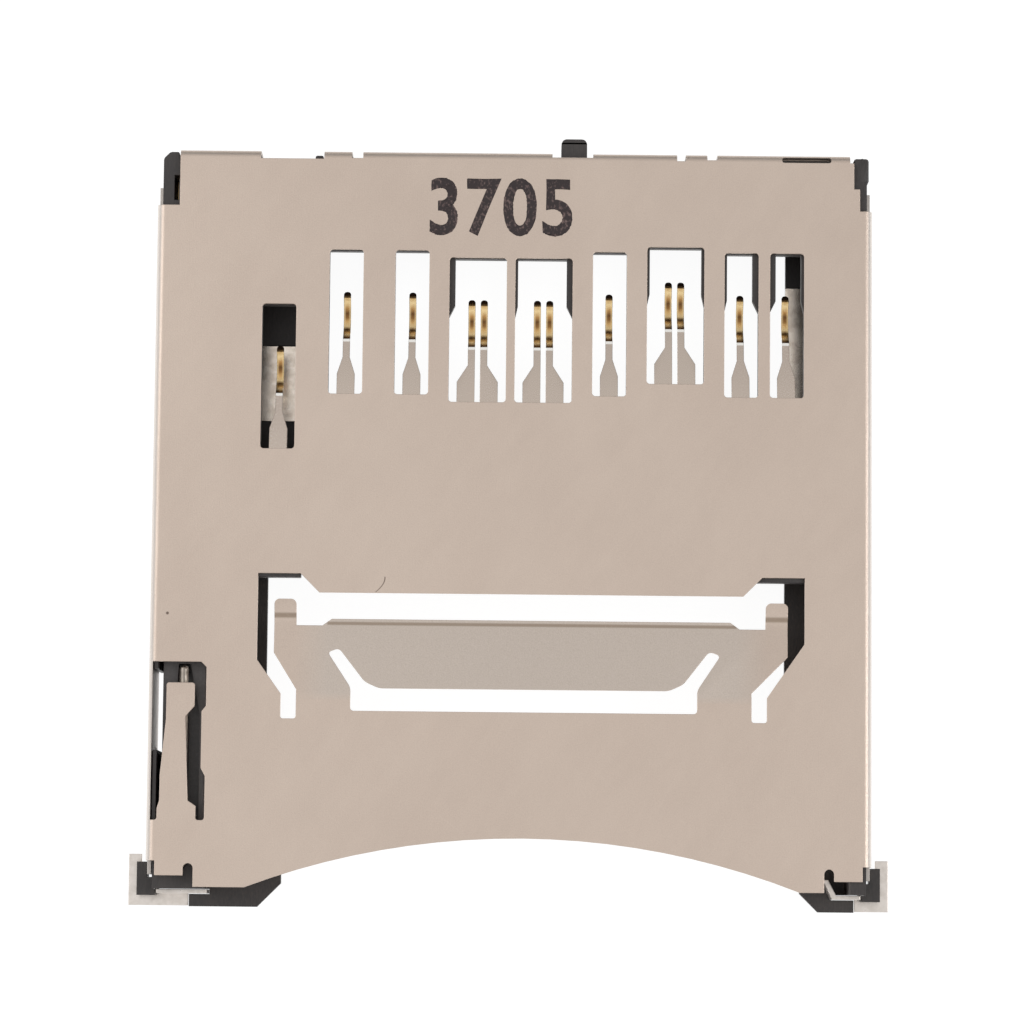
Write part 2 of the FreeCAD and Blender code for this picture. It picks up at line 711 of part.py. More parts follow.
def build_cover():
    """The cover is stamped and folded from one sheet."""
    body = new_body("cover_sheet_metal")
    start = ORIGIN - (cover_rear - fold_radius)
    pad(body, "channel", [cover_profile()], start, cover_front, "XZ_Plane")
    pad(body, "rear_flange", [flange_profile()], -corner_half, corner_half, "YZ_Plane")
    under, over = cover_low - cover_sheet, cover_top + cover_sheet

    radius = (arc_half * arc_half + arc_depth * arc_depth) / (2 * arc_depth)
    arc_y = arc_depth - cover_front - radius
    beyond = -cover_front - cover_sheet
    left, right = arc_center - arc_half, arc_center + arc_half
    finger_arc = [(left, beyond), (right, beyond), (right, -cover_front)]
    for step in range(1, ARC_RUNS + 1):
        reach = arc_half * (1 - 2 * step / ARC_RUNS)
        rise = (radius * radius - reach * reach).root()
        finger_arc.append(Arc(arc_center + reach, arc_y + rise, arc_center, arc_y, False))
    pocket(body, "finger_arc", [finger_arc], ORIGIN, over)

    slot_in = mouth_slot_center - mouth_slot_width / 2
    slot_out = mouth_slot_center + mouth_slot_width / 2
    slot_round = -mouth_slot_top - mouth_slot_width / 2
    outside = half_cover + cover_sheet
    left_corner = [
        (-outside, beyond), (-slot_in, beyond), (-slot_in, slot_round),
        Arc(-slot_out, slot_round, -mouth_slot_center, slot_round, False),
        (-slot_out, -corner_tab_front), (-corner_tab_half, -corner_tab_front),
        (-corner_tab_half, -wall_end_front), (-outside, -wall_end_front),
    ]
    right_corner = [
        (outside, beyond), (outside, -wall_end_front), (corner_tab_half, -wall_end_front),
        (corner_tab_half, -corner_tab_front), (slot_out, -corner_tab_front), (slot_out, slot_round),
        Arc(slot_in, slot_round, mouth_slot_center, slot_round, False), (slot_in, beyond),
    ]
    pocket(body, "mouth_corners", [left_corner, right_corner], ORIGIN, over)
    wall_ends = [
        box_outline(-outside, -corner_tab_half, beyond, -wall_front),
        box_outline(corner_tab_half, outside, beyond, -wall_front),
    ]
    pocket(body, "wall_ends", wall_ends, wall_end_top, over)

    windows = [
        box_outline(c.x - c.half_window, c.x + c.half_window, c.front, c.rear, window_corner)
        for c in contacts
    ]
    pocket(body, "contact_windows", windows, under, over)
    pocket(body, "brake_opening", [brake_opening()], under, over)
    pocket(body, "finger_opening", [finger_opening()], under, over)

    outer_rear = cover_rear + cover_sheet
    corners = [
        box_outline(-outside, -corner_half, corner_front, outer_rear),
        box_outline(corner_half + right_corner_step, outside, corner_front, outer_rear),
    ]
    pocket(body, "rear_corners", corners, corner_wall_top, over)
    walls = [
        box_outline(-outside, -corner_half, corner_wall_rear, outer_rear),
        box_outline(corner_half + cover_sheet, outside, corner_wall_rear, outer_rear),
    ]
    pocket(body, "rear_wall_ends", walls, ORIGIN, over)
    peg_half = peg_root_width / 2 + peg_gap
    notches = [
        rear_cut(wide_notch_left, wide_notch_right, rear_slot_depth + wide_notch_extra),
        rear_cut(left_slot_left, left_slot_right, rear_slot_depth),
        rear_cut(peg_center - peg_half, peg_center + peg_half, rear_slot_depth - peg_notch_rise),
        rear_cut(right_slot_left, right_slot_right, rear_slot_depth),
        rear_cut(right_notch_left, right_notch_right, rear_slot_depth - right_notch_rise),
    ]
    pocket(body, "rear_notches", notches, ORIGIN, over)
    latches = [
        box_outline(low, high, y - latch_length / 2, y + latch_length / 2)
        for y in (latch_front, latch_rear)
        for low, high in ((-outside, cover_sheet - wall_inside), (wall_inside - cover_sheet, outside))
    ]
    pocket(body, "latch_windows", latches, latch_low, latch_low + latch_height)
    lens_rear = cover_rear - slit_setback
    lens = box_outline(lens_left, lens_right, lens_rear - lens_width, lens_rear, slit_round)
    pocket(body, "rear_slit", [lens], under - cover_sheet, over)

    brake_side = bent_side([
        (ORIGIN - brake_root, ORIGIN), (ORIGIN - brake_bend, ORIGIN),
        (ORIGIN - brake_lip, brake_drop), (ORIGIN - tab_rear, brake_drop - brake_lip_rise),
    ])
    spare = cover_sheet
    brake = sloped_sheet(
        "card_brake", brake_plan(), brake_side,
        brake_slot_center - tab_outer - spare, brake_slot_center + tab_outer + spare,
    )
    finger_side = bent_side([
        (ORIGIN - finger_root, ORIGIN), (ORIGIN - finger_bend, ORIGIN), (ORIGIN - finger_tip, finger_drop),
    ])
    finger = sloped_sheet(
        "follower_finger", finger_plan(), finger_side, -finger_root_left - spare, -finger_right + spare,
    )
    return joined("cover_shell", [body, brake, finger])


# Housing: rails, blocks and the small features of the moulding
rail_left_rear = -card_left - size("left_rear_ledge", 3.35)
rail_left = -card_left - size("left_ledge", 2.01)
rail_right = card_right - size("right_ledge", 2.16)
rail_step_front = size("rail_step_front", 1.60)
rail_step_rear = size("rail_step_rear", 2.10)
mouth_left = -card_left - size("left_mouth_ledge", 2.68)
mouth_right = card_right - size("right_mouth_ledge", 1.56)
mouth_rear = cover_front - size("mouth_length", 1.07)
mouth_step = size("mouth_step", 0.70)
mouth_chamfer_left = size("mouth_chamfer_left", 0.90)
mouth_chamfer_right = size("mouth_chamfer_right", 0.70)
lip_left_end = half_cover - size("left_lip_inset", 1.44)
lip_right_end = half_cover - size("right_lip_inset", 0.45)
block_front = cover_front + size("block_overhang", 0.08)
block_rear = cover_front - size("block_setback", 1.57)
carrier_front = size("carrier_front", -1.60)
left_horn_right = half_cover - size("left_horn_inset", 0.80)
right_horn_left = half_cover - size("right_horn_inset", 0.44)
horn_rear = cover_rear - size("horn_setback", 0.08)
horn_chamfer = size("horn_chamfer", 0.25)
right_horn_chamfer = size("right_horn_chamfer", 0.12)
rib_left = size("rib_left", -7.62)
rib_right = size("rib_right", -7.31)
rib_rear = cover_rear - size("rib_setback", 0.17)
ear_width = size("ear_width", 0.70)
ear_height = size("ear_height", 1.00)
ear_front = cover_front + size("ear_overhang", 0.31)
ear_gap = size("ear_gap", 0.02)
peg_height = size("peg_height", 0.80)
locating_peg_length = size("locating_peg_length", 0.45)
locating_peg_y = size("peg_setback", 0.67) - cover_front
left_peg_x = card_left + size("left_peg_inset", 0.75)
right_peg_x = card_right - size("right_peg_inset", 0.45)
left_peg_radius = size("left_peg_radius", 0.50)
right_peg_radius = size("right_peg_radius", 0.40)
light_slot_front = follower_tip + size("light_slot_length", 3.05)

# Pivot of the cam follower and its track in the slider
pivot_depth = size("pivot_depth", 1.30)
pivot_gap = size("pivot_gap", 0.02)
track_depth = size("track_depth", 0.50)
track_floor_gap = size("track_floor_gap", 0.05)
track_side_gap = size("track_side_gap", 0.035)
track_swing = size("track_swing", 0.38)
track_front_gap = size("track_front_gap", 0.07)
return_lane_start = size("return_lane_start", 1.72)
island_edge = size("island_edge", 0.03)
island_rear = size("island_rear", 1.82)
island_shoulder = size("island_shoulder", 2.31)
island_front = size("island_front", 0.65)
notch_reach = size("notch_reach", 1.08)
island_left = size("island_left", 0.09)
island_left_front = size("island_left_front", 0.86)

# Eject spring
spring_wire = size("spring_wire", 0.16)
spring_diameter = size("spring_diameter", 0.84)
spring_turns = size("spring_turns", 8)
spring_end_gap = size("spring_end_gap", 0.02)
spring_boss_radius = size("spring_boss_radius", 0.22)
spring_boss_length = size("spring_boss_length", 0.80)

# Slider outline
slider_rest_gap = size("slider_rest_gap", 0.10)
slider_head_rear = size("head_past_tip", 1.20) - follower_tip
arm_width = size("arm_width", 0.42)
catch_front = size("catch_front", 2.40)
catch_reach = size("catch_reach", 1.80)
catch_rear = size("catch_rear", 5.90)
slider_front = slider_rest_gap - block_rear
arm_left = slider_right - arm_width
spring_x = (slider_left + arm_left) / 2
spring_z = (slider_low + slider_top) / 2

# Switches: strips and floor plates of one sheet
switch_sheet = size("switch_sheet", 0.12)
switch_gap = size("switch_gap", 0.03)
switch_low = size("switch_low", 0.90)
switch_height = size("switch_height", 0.80)
detect_left = half_housing - size("detect_left_inset", 0.45)
detect_front = bay_end + size("detect_blade_setback", 0.30)
detect_rear = bay_end + size("detect_run_setback", 1.20)
detect_right = rail_left + size("detect_right_step", 0.11)
detect_bow_x = rail_left - size("detect_bow_step", 0.49)
detect_bow = bay_end - size("detect_bow_reach", 0.65)
detect_end_x = rail_left - size("detect_end_step", 1.14)
detect_end = bay_end - size("detect_end_reach", 0.32)
detect_blade = size("detect_blade", 0.45)
detect_plate_right = rail_left_rear + size("detect_plate_step", 0.25)
detect_plate_left = detect_plate_right + size("detect_plate_width", 2.85)
detect_plate_front = size("detect_plate_front", 4.25)
detect_plate_rear = size("detect_plate_rear", 7.15)
plate_foot = size("plate_foot", 0.90)
protect_plate_width = size("protect_plate_width", 1.20)
protect_plate_front = size("protect_plate_front", 4.40)
protect_plate_rear = size("protect_plate_rear", 9.60)
protect_front = size("protect_front", 0.40)
protect_blade = size("protect_blade", 0.70)
protect_bow = size("protect_bow", 3.60)
protect_rear = size("protect_rear", 6.20)
protect_reach = size("protect_reach", 0.35)
protect_depth = size("protect_depth", 0.38)
protect_rear_gap = size("protect_rear_gap", 0.09)
detect_slant = size("detect_slant", 1.2)
protect_slant = size("protect_slant", 1.1)

# Hold-down tabs at the front corners
foot_sheet = size("foot_sheet", 0.15)
foot_width = size("foot_width", 0.34)
foot_gap = size("foot_gap", 0.04)
foot_tuck = size("foot_tuck", 0.15)
foot_outer = half_housing + ear_width + foot_gap + foot_width
foot_rear = wall_front - size("foot_past_ear", 0.28)
foot_front = block_front + foot_sheet + size("foot_lip", 0.46)
left_foot_end = lip_left_end + foot_gap
right_foot_end = lip_right_end + foot_gap
blade_front = block_front + foot_sheet
blade_height = size("blade_height", 1.60)
blade_outer = half_housing - size("blade_inset", 0.10)
left_blade_end = blade_outer - size("left_blade_length", 1.90)
right_blade_bend = blade_outer - size("right_blade_length", 0.99)
right_blade_end_x = right_blade_bend - size("right_blade_step", 0.37)
right_blade_end_y = blade_front - size("right_blade_turn", 0.74)


def floor_plan():
    """The two rails that carry the card, joined at the rear; each has a slanted lip at the mouth."""
    out = half_housing
    front = -housing_front
    return [
        (-out, housing_rear), (-out, -block_front), (-lip_left_end, -block_front), (-lip_left_end, front),
        (-mouth_left - mouth_chamfer_left, front), (-mouth_left, front + mouth_chamfer_left),
        (-mouth_left, -mouth_rear), (-rail_left, -mouth_rear + mouth_step), (-rail_left, rail_step_front),
        (-rail_left_rear, rail_step_rear), (-rail_left_rear, bay_end), (rail_right, bay_end),
        (rail_right, -mouth_rear + mouth_step), (mouth_right, -mouth_rear),
        (mouth_right, front + mouth_chamfer_right), (mouth_right + mouth_chamfer_right, front),
        (lip_right_end, front), (lip_right_end, -block_front), (out, -block_front), (out, housing_rear),
    ]


def rear_block_plan():
    out = half_housing
    return [
        (-out, bay_end), (out, bay_end), (out, horn_rear - horn_chamfer),
        (out - right_horn_chamfer, horn_rear),
        (right_horn_left, horn_rear), (right_horn_left, housing_rear), (rib_right, housing_rear),
        (rib_right, rib_rear), (rib_left, rib_rear), (rib_left, housing_rear),
        (-left_horn_right, housing_rear), (-left_horn_right, horn_rear),
        (-out + horn_chamfer, horn_rear), (-out, horn_rear - horn_chamfer),
    ]


def carrier_window(contact):
    """Window in the carrier under a window of the cover, narrowed by the lips at its rear."""
    left = contact.x - contact.half_window
    right = contact.x + contact.half_window
    front = contact.front - carrier_window_front_gap
    rear = contact.rear - lip_rear
    step = contact.rear - lip_length
    corners = [(left, front), (right, front)]
    if contact.right_lip is not bare:
        edge = right - contact.right_lip
        corners += [(right, step - lip_taper), (edge, step), (edge, rear)]
    else:
        corners += [(right, rear)]
    if contact.left_lip is not bare:
        edge = left + contact.left_lip
        corners += [(edge, rear), (edge, step), (left, step - lip_taper)]
    else:
        corners += [(left, rear)]
    return corners


def detect_path(spare):
    """Plan of the card detect leaf: blade, run along the slot in the rear block, bow in front of it."""
    t = switch_sheet + spare
    s = ORIGIN - spare
    return [
        (s - detect_left, detect_front - spare), (t - detect_left, detect_front - spare),
        (t - detect_left, detect_rear - t), (-detect_right - t, detect_rear - t),
        (-detect_right - t, bay_end - switch_sheet), (-detect_bow_x, detect_bow - spare),
        (-detect_end_x, detect_end - spare), (-detect_end_x, detect_end + t * detect_slant),
        (-detect_bow_x, detect_bow + t * detect_slant), (spare - detect_right, bay_end - switch_sheet / 2),
        (spare - detect_right, detect_rear + spare), (s - detect_left, detect_rear + spare),
    ]


def protect_path():
    """Plan of the write protect leaf: blade in the right wall and a bow that reaches the card's edge."""
    t = switch_sheet
    back = bay_right + protect_depth - switch_gap
    bow = bay_right - protect_reach
    blade_end = protect_front + protect_blade
    return [
        (back - t, protect_front), (back, protect_front), (back, blade_end),
        (bow + t * protect_slant, protect_bow),
        (back, protect_rear), (back - t, protect_rear), (bow, protect_bow), (back - t, blade_end),
    ]


def bent_blade(spare):
    """Plan of the slanted end of the right solder foot's blade, grown by a spare width."""
    near, far = foot_sheet / 2 + spare, foot_sheet + spare
    return [
        (right_blade_bend + near, -blade_front - spare), (right_blade_bend + near, -blade_front + far),
        (right_blade_end_x + far, -right_blade_end_y + spare),
        (right_blade_end_x - spare, -right_blade_end_y + spare),
        (right_blade_end_x - spare, -right_blade_end_y - near),
        (right_blade_bend - near, -blade_front - spare),
    ]


def build_housing():
    """The frame is one moulding: all other pieces are held in it."""
    body = new_body("housing")
    out = half_housing
    over = cover_low
    pad(body, "floor", [floor_plan()], ORIGIN, floor_thickness)
    pad(body, "rear_block", [rear_block_plan()], ORIGIN, housing_top)
    carrier = box_outline(-out, out, carrier_front, bay_end)
    pad(body, "carrier", [carrier], carrier_low, housing_top)
    walls = [
        box_outline(-out, -out + left_wall, -block_rear, bay_end),
        box_outline(bay_right, out, -block_front, bay_end),
    ]
    pad(body, "side_walls", walls, ORIGIN, housing_top)
    front_block = box_outline(-out, slider_right, -block_front, -block_rear)
    pad(body, "pivot_block", [front_block], ORIGIN, slider_top)
    ear_rear = -wall_front - ear_gap
    ears = [
        box_outline(-out - ear_width, -out, -ear_front, ear_rear),
        box_outline(out, out + ear_width, -ear_front, ear_rear),
    ]
    pad(body, "ears", ears, foot_sheet + foot_gap, ear_height)
    slot_outer = half_cover + wall_end_gap
    wall_end_slots = [
        box_outline(-slot_outer, -out, -wall_end_front - wall_end_gap, -wall_front + ear_gap),
        box_outline(out, slot_outer, -wall_end_front - wall_end_gap, -wall_front + ear_gap),
    ]
    pocket(body, "wall_end_slots", wall_end_slots, ORIGIN, over)
    lug = latch_length / 2 - latch_gap
    lugs = [
        box_outline(low, high, y - lug, y + lug)
        for y in (latch_front, latch_rear)
        for low, high in ((-half_cover + latch_gap, -out), (out, half_cover - latch_gap))
    ]
    pad(body, "latch_lugs", lugs, latch_low + latch_gap, latch_low + latch_height - latch_gap)
    peg = [
        (peg_center - peg_root_width / 2, housing_rear), (peg_center + peg_root_width / 2, housing_rear),
        (peg_center + peg_root_width / 2, horn_rear), (peg_center + peg_width / 2, housing_rear + peg_reach),
        (peg_center - peg_width / 2, housing_rear + peg_reach), (peg_center - peg_root_width / 2, horn_rear),
    ]
    pad(body, "rear_peg", [peg], peg_low, peg_low + peg_height)
    pegs = [
        Disc(left_peg_x, locating_peg_y, left_peg_radius),
        Disc(right_peg_x, locating_peg_y, right_peg_radius),
    ]
    pad(body, "locating_pegs", pegs, -locating_peg_length, ORIGIN)

    pocket(body, "carrier_windows", [carrier_window(c) for c in contacts], carrier_low - cover_gap, over)
    channels = [contact_frame(c, contact_gap, lead_drop + contact_gap) for c in contacts]
    pocket(body, "contact_channels", channels, contact_low, over)
    half_lead = lead_width / 2 + contact_gap
    drops = [
        box_outline(
            c.lead - half_lead, c.lead + half_lead,
            lead_drop - contact_sheet - contact_gap, lead_drop + contact_gap,
        )
        for c in contacts
    ]
    pocket(body, "lead_drops", drops, -cover_gap, over)
    feet = [
        box_outline(c.lead - half_lead, c.lead + half_lead, lead_drop, housing_rear + cover_sheet)
        for c in contacts
    ]
    pocket(body, "foot_reliefs", feet, -cover_gap, contact_sheet + contact_gap)

    pocket(body, "detect_slot", [detect_path(switch_gap)], switch_low - switch_gap, over)
    blade_rear = detect_front + detect_blade + switch_gap
    detect_blade_slot = box_outline(
        -detect_left - switch_gap, -detect_left + switch_sheet + switch_gap,
        detect_front - switch_gap, blade_rear,
    )
    pocket(body, "detect_blade_slot", [detect_blade_slot], -cover_gap, over)
    protect_pocket = box_outline(
        bay_right - switch_sheet, bay_right + protect_depth,
        protect_front - switch_gap, protect_rear + protect_rear_gap,
    )
    pocket_high = switch_low + switch_height + switch_gap
    pocket(body, "protect_pocket", [protect_pocket], switch_low - switch_gap, pocket_high)
    protect_slot = box_outline(
        bay_right + protect_depth - switch_gap * 2 - switch_sheet, bay_right + protect_depth,
        protect_front - switch_gap, protect_front + protect_blade + switch_gap,
    )
    pocket(body, "protect_blade_slot", [protect_slot], -cover_gap, switch_low)

    plates = [
        box_outline(
            -detect_plate_left, -detect_plate_right + switch_gap,
            detect_plate_front - switch_gap, detect_plate_rear + switch_gap,
        ),
        box_outline(
            rail_right - switch_gap, rail_right + protect_plate_width,
            protect_plate_front - switch_gap, protect_plate_rear + switch_gap,
        ),
    ]
    pocket(body, "plate_recesses", plates, floor_thickness - switch_sheet, floor_thickness + cover_gap)
    left_foot = -detect_plate_left - plate_foot
    right_foot = rail_right + protect_plate_width + plate_foot
    foot_slots = [
        box_outline(
            left_foot - switch_gap, -detect_plate_left,
            detect_plate_front - switch_gap, detect_plate_rear + switch_gap,
        ),
        box_outline(
            rail_right + protect_plate_width, right_foot + switch_gap,
            protect_plate_front - switch_gap, protect_plate_rear + switch_gap,
        ),
    ]
    pocket(body, "plate_foot_slots", foot_slots, -cover_gap, floor_thickness + cover_gap)

    light_slot = box_outline(-out - cover_gap, slider_left + cover_gap, -light_slot_front, -follower_tip)
    pocket(body, "light_slot", [light_slot], -cover_gap, over)
    pivot = Disc(slider_center, -follower_pivot, follower_radius + pivot_gap)
    pocket(body, "pivot_hole", [pivot], slider_top - pivot_depth - pivot_gap, over)
    blade_slots = [
        box_outline(
            -blade_outer - pivot_gap, -left_blade_end + pivot_gap,
            -blade_front - pivot_gap, -blade_front + foot_sheet + pivot_gap,
        ),
        box_outline(
            right_blade_bend - pivot_gap, blade_outer + pivot_gap,
            -blade_front - pivot_gap, -blade_front + foot_sheet + pivot_gap,
        ),
    ]
    pocket(body, "blade_slots", blade_slots, -cover_gap, over)
    pocket(body, "bent_blade_slot", [bent_blade(foot_gap)], floor_thickness, over)
    boss = spring_boss_radius
    seat = new_sketch(body, "XZ_Plane", "spring_boss_outline", spring_boss_length - bay_end)
    outline(seat, Disc(spring_x, spring_z, boss))
    post = body.newObject("PartDesign::Pad", "spring_boss")
    post.Profile = seat
    post.Reversed = True
    post.setExpression("Length", spring_boss_length.text)
    body.Tip = post
    return body


def track_outlines():
    """Heart-shaped track: slanted lane inwards, rest notch, lane back, and the island between them."""
    x = slider_center
    half = follower_radius + track_side_gap
    start = -follower_tip
    end = -follower_tip - slider_travel
    front = end - follower_radius - track_front_gap
    outer = [
        (x - half, start + half), (x - track_swing - half, end), (x - track_swing - half, front),
        (x + track_swing + half, front), (x + track_swing + half, start - return_lane_start),
        (x + half, start + half),
    ]
    inner_right = x + track_swing - half
    island = [
        (inner_right - island_edge, start - island_rear), (inner_right, start - island_shoulder),
        (inner_right, end + island_front), (x + island_edge, end + notch_reach),
        (x - island_left, end + island_left_front),
    ]
    return [outer, island]


def build_slider():
    """Ejector slide: head with the heart track, arm beside the spring, and slanted catch for the card."""
    body = new_body("slider")
    plan = [
        (slider_left, slider_front), (slider_right, slider_front), (slider_right, catch_front),
        (slider_right + catch_reach, catch_front + catch_reach), (slider_right + catch_reach, catch_rear),
        (arm_left, catch_rear), (arm_left, slider_head_rear), (slider_left, slider_head_rear),
    ]
    pad(body, "slide", [plan], slider_low, slider_top)
    pocket(body, "heart_track", track_outlines(), slider_top - track_depth, cover_low)
    return body


def build_follower():
    """Bent wire: one leg turns in the housing, the other runs in the heart track."""
    run = slider_top + follower_gap + follower_radius
    legs = [
        ("pivot_leg", -follower_pivot, slider_top - pivot_depth),
        ("track_leg", -follower_tip, slider_top - track_depth + track_floor_gap),
    ]
    wire = doc.addObject("Part::Cylinder", "wire_run")
    wire.Placement.Rotation = FreeCAD.Rotation(FreeCAD.Vector(1, 0, 0), -90)
    wire.setExpression("Height", (follower_pivot - follower_tip).text)
    wire.setExpression("Placement.Base.y", (-follower_pivot).text)
    wire.setExpression("Placement.Base.z", run.text)
    pieces = [wire]
    for name, y, foot in legs:
        leg = doc.addObject("Part::Cylinder", name)
        leg.setExpression("Height", (run - foot).text)
        leg.setExpression("Placement.Base.y", y.text)
        leg.setExpression("Placement.Base.z", foot.text)
        bend = doc.addObject("Part::Sphere", f"{name}_bend")
        bend.setExpression("Placement.Base.y", y.text)
        bend.setExpression("Placement.Base.z", run.text)
        pieces += [leg, bend]
    for piece in pieces:
        piece.setExpression("Radius", follower_radius.text)
        piece.setExpression("Placement.Base.x", slider_center.text)
    return joined("cam_follower", pieces)


def build_spring():
    """Compression spring between the slider's head and the rear block."""
    wire = spring_wire / 2
    start = slider_head_rear + wire + spring_end_gap
    length = bay_end - wire - spring_end_gap - start
    helix = doc.addObject("Part::Helix", "spring_line")
    helix.Placement.Rotation = FreeCAD.Rotation(FreeCAD.Vector(1, 0, 0), -90)
    helix.setExpression("Radius", (spring_diameter / 2).text)
    helix.setExpression("Height", length.text)
    helix.setExpression("Pitch", (length / spring_turns).text)
    section = doc.addObject("Part::RegularPolygon", "spring_section")
    section.Polygon = 6
    section.setExpression("Circumradius", wire.text)
    for piece, x in ((helix, spring_x), (section, spring_x + spring_diameter / 2)):
        piece.setExpression("Placement.Base.x", x.text)
        piece.setExpression("Placement.Base.y", start.text)
        piece.setExpression("Placement.Base.z", spring_z.text)
    doc.recompute()
    coil = doc.addObject("Part::Sweep", "eject_spring")
    coil.Label = "eject_spring"
    coil.Sections = [section]
    coil.Spine = (helix, [f"Edge{number + 1}" for number in range(len(helix.Shape.Edges))])
    coil.Solid = True
    coil.Frenet = True
    return coil


def build_switches():
    """Two sprung leaves and the two floor plates that they close against."""
    high = switch_low + switch_height
    detect = new_body("detect_switch_spring")
    pad(detect, "detect_leaf", [detect_path(ORIGIN)], switch_low, high)
    blade = box_outline(
        -detect_left, -detect_left + switch_sheet, detect_front, detect_front + detect_blade,
    )
    pad(detect, "detect_tail", [blade], ORIGIN, switch_low)
    protect = new_body("write_protect_spring")
    pad(protect, "protect_leaf", [protect_path()], switch_low, high)
    back = bay_right + protect_depth - switch_gap
    blade = box_outline(back - switch_sheet, back, protect_front, protect_front + protect_blade)
    pad(protect, "protect_tail", [blade], ORIGIN, switch_low)
    pieces = [detect, protect]
    plates = [
        ("detect_switch_terminal", -detect_plate_left, -detect_plate_right,
         -detect_plate_left - plate_foot, detect_plate_front, detect_plate_rear, True),
        ("write_protect_terminal", rail_right, rail_right + protect_plate_width,
         rail_right + protect_plate_width + plate_foot, protect_plate_front, protect_plate_rear, False),
    ]
    for label, left, right, foot_end, front, rear, foot_left in plates:
        plate = new_body(label)
        low = floor_thickness - switch_sheet
        pad(plate, f"{label}_plate", [box_outline(left, right, front, rear)], low, floor_thickness)
        inner, outer = (left, foot_end) if foot_left else (foot_end, right)
        near = left if foot_left else right
        step = box_outline(near - switch_sheet, near, front, rear)
        foot = box_outline(foot_end, near, front, rear)
        if not foot_left:
            step = box_outline(near, near + switch_sheet, front, rear)
            foot = box_outline(near, foot_end, front, rear)
        pad(plate, f"{label}_step", [step], ORIGIN, floor_thickness)
        pad(plate, f"{label}_foot", [foot], ORIGIN, switch_sheet)
        pieces.append(plate)
    return pieces


def build_hold_downs():
    """L-shaped solder feet with an upright blade pressed into the front of the housing."""
    rear_edge = foot_tuck - ear_front
    inner = foot_outer - foot_width - foot_tuck
    pieces = []
    left = new_body("left_hold_down")
    plan = [
        (-foot_outer, -foot_front), (-left_foot_end, -foot_front), (-left_foot_end, -blade_front),
        (-blade_outer, -blade_front), (-blade_outer, rear_edge), (-inner, rear_edge),
        (-inner, -foot_rear), (-foot_outer, -foot_rear),
    ]
    pad(left, "left_foot", [plan], ORIGIN, foot_sheet)
    blade = box_outline(-blade_outer, -left_blade_end, -blade_front, -blade_front + foot_sheet)
    pad(left, "left_blade", [blade], ORIGIN, blade_height)
    right = new_body("right_hold_down")
    plan = [
        (foot_outer, -foot_front), (foot_outer, -foot_rear), (inner, -foot_rear), (inner, rear_edge),
        (blade_outer, rear_edge), (blade_outer, -blade_front), (right_foot_end, -blade_front),
        (right_foot_end, -foot_front),
    ]
    pad(right, "right_foot", [plan], ORIGIN, foot_sheet)
    blade = box_outline(right_blade_bend, blade_outer, -blade_front, -blade_front + foot_sheet)
    pad(right, "right_blade", [blade], ORIGIN, blade_height)
    pad(right, "bent_end", [bent_blade(ORIGIN)], floor_thickness + foot_gap, blade_height)
    return [left, right]


parts = [build_cover(), build_housing()]
parts += [build_contact(contact) for contact in contacts]
parts += [build_slider(), build_follower(), build_spring()]
parts += build_switches()
parts += build_hold_downs()
doc.recompute()

for thing in doc.Objects:
    if "Invalid" in thing.State or "Error" in thing.State:
        raise RuntimeError(f"{thing.Name} failed: {thing.State}")
for part in parts:
    if part.Shape.isNull() or not part.Shape.isValid():
        raise RuntimeError(f"{part.Label} has no valid shape")
    if len(part.Shape.Solids) != 1:
        raise RuntimeError(f"{part.Label} has {len(part.Shape.Solids)} solids")
for cut in cuts:
    if cut.Shape.Volume >= cut.BaseFeature.Shape.Volume:
        raise RuntimeError(f"{cut.Name} cuts nothing")

os.makedirs("parts", exist_ok=True)
for part in parts:
    part.Shape.exportStep(f"parts/{part.Label}.step")
    print(part.Label, round(part.Shape.Volume, 3))
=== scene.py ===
import bpy
import json
import math
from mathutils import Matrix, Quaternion, Vector


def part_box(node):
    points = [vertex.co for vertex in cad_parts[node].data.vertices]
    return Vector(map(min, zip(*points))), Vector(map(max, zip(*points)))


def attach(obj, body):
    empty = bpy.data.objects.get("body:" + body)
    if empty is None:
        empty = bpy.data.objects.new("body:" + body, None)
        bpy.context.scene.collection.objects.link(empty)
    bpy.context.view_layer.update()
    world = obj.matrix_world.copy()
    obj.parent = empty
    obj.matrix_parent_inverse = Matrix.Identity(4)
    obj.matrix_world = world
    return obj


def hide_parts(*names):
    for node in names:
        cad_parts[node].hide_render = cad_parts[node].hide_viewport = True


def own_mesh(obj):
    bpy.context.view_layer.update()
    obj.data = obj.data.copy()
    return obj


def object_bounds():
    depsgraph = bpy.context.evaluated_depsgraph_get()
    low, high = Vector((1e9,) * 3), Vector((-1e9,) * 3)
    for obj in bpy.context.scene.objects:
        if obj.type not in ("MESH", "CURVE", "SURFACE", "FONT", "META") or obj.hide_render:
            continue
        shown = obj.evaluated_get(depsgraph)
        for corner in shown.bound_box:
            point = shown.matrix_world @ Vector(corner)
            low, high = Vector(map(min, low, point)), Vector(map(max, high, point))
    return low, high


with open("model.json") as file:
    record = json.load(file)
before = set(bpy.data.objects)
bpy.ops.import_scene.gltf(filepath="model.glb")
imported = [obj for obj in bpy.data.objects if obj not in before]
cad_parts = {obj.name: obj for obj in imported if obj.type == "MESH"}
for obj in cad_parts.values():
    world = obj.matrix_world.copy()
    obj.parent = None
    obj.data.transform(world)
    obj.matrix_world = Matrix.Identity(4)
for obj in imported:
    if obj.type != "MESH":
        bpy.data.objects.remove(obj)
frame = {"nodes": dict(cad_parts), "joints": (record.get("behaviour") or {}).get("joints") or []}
cad_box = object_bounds()
nodes = frame["nodes"]
bpy.ops.object.select_all(action="DESELECT")

# Table, light and camera: the socket lies on a plain white table under a wide, even studio light, and
# is seen from straight above, leaning a little towards its mouth.
MM = 0.001


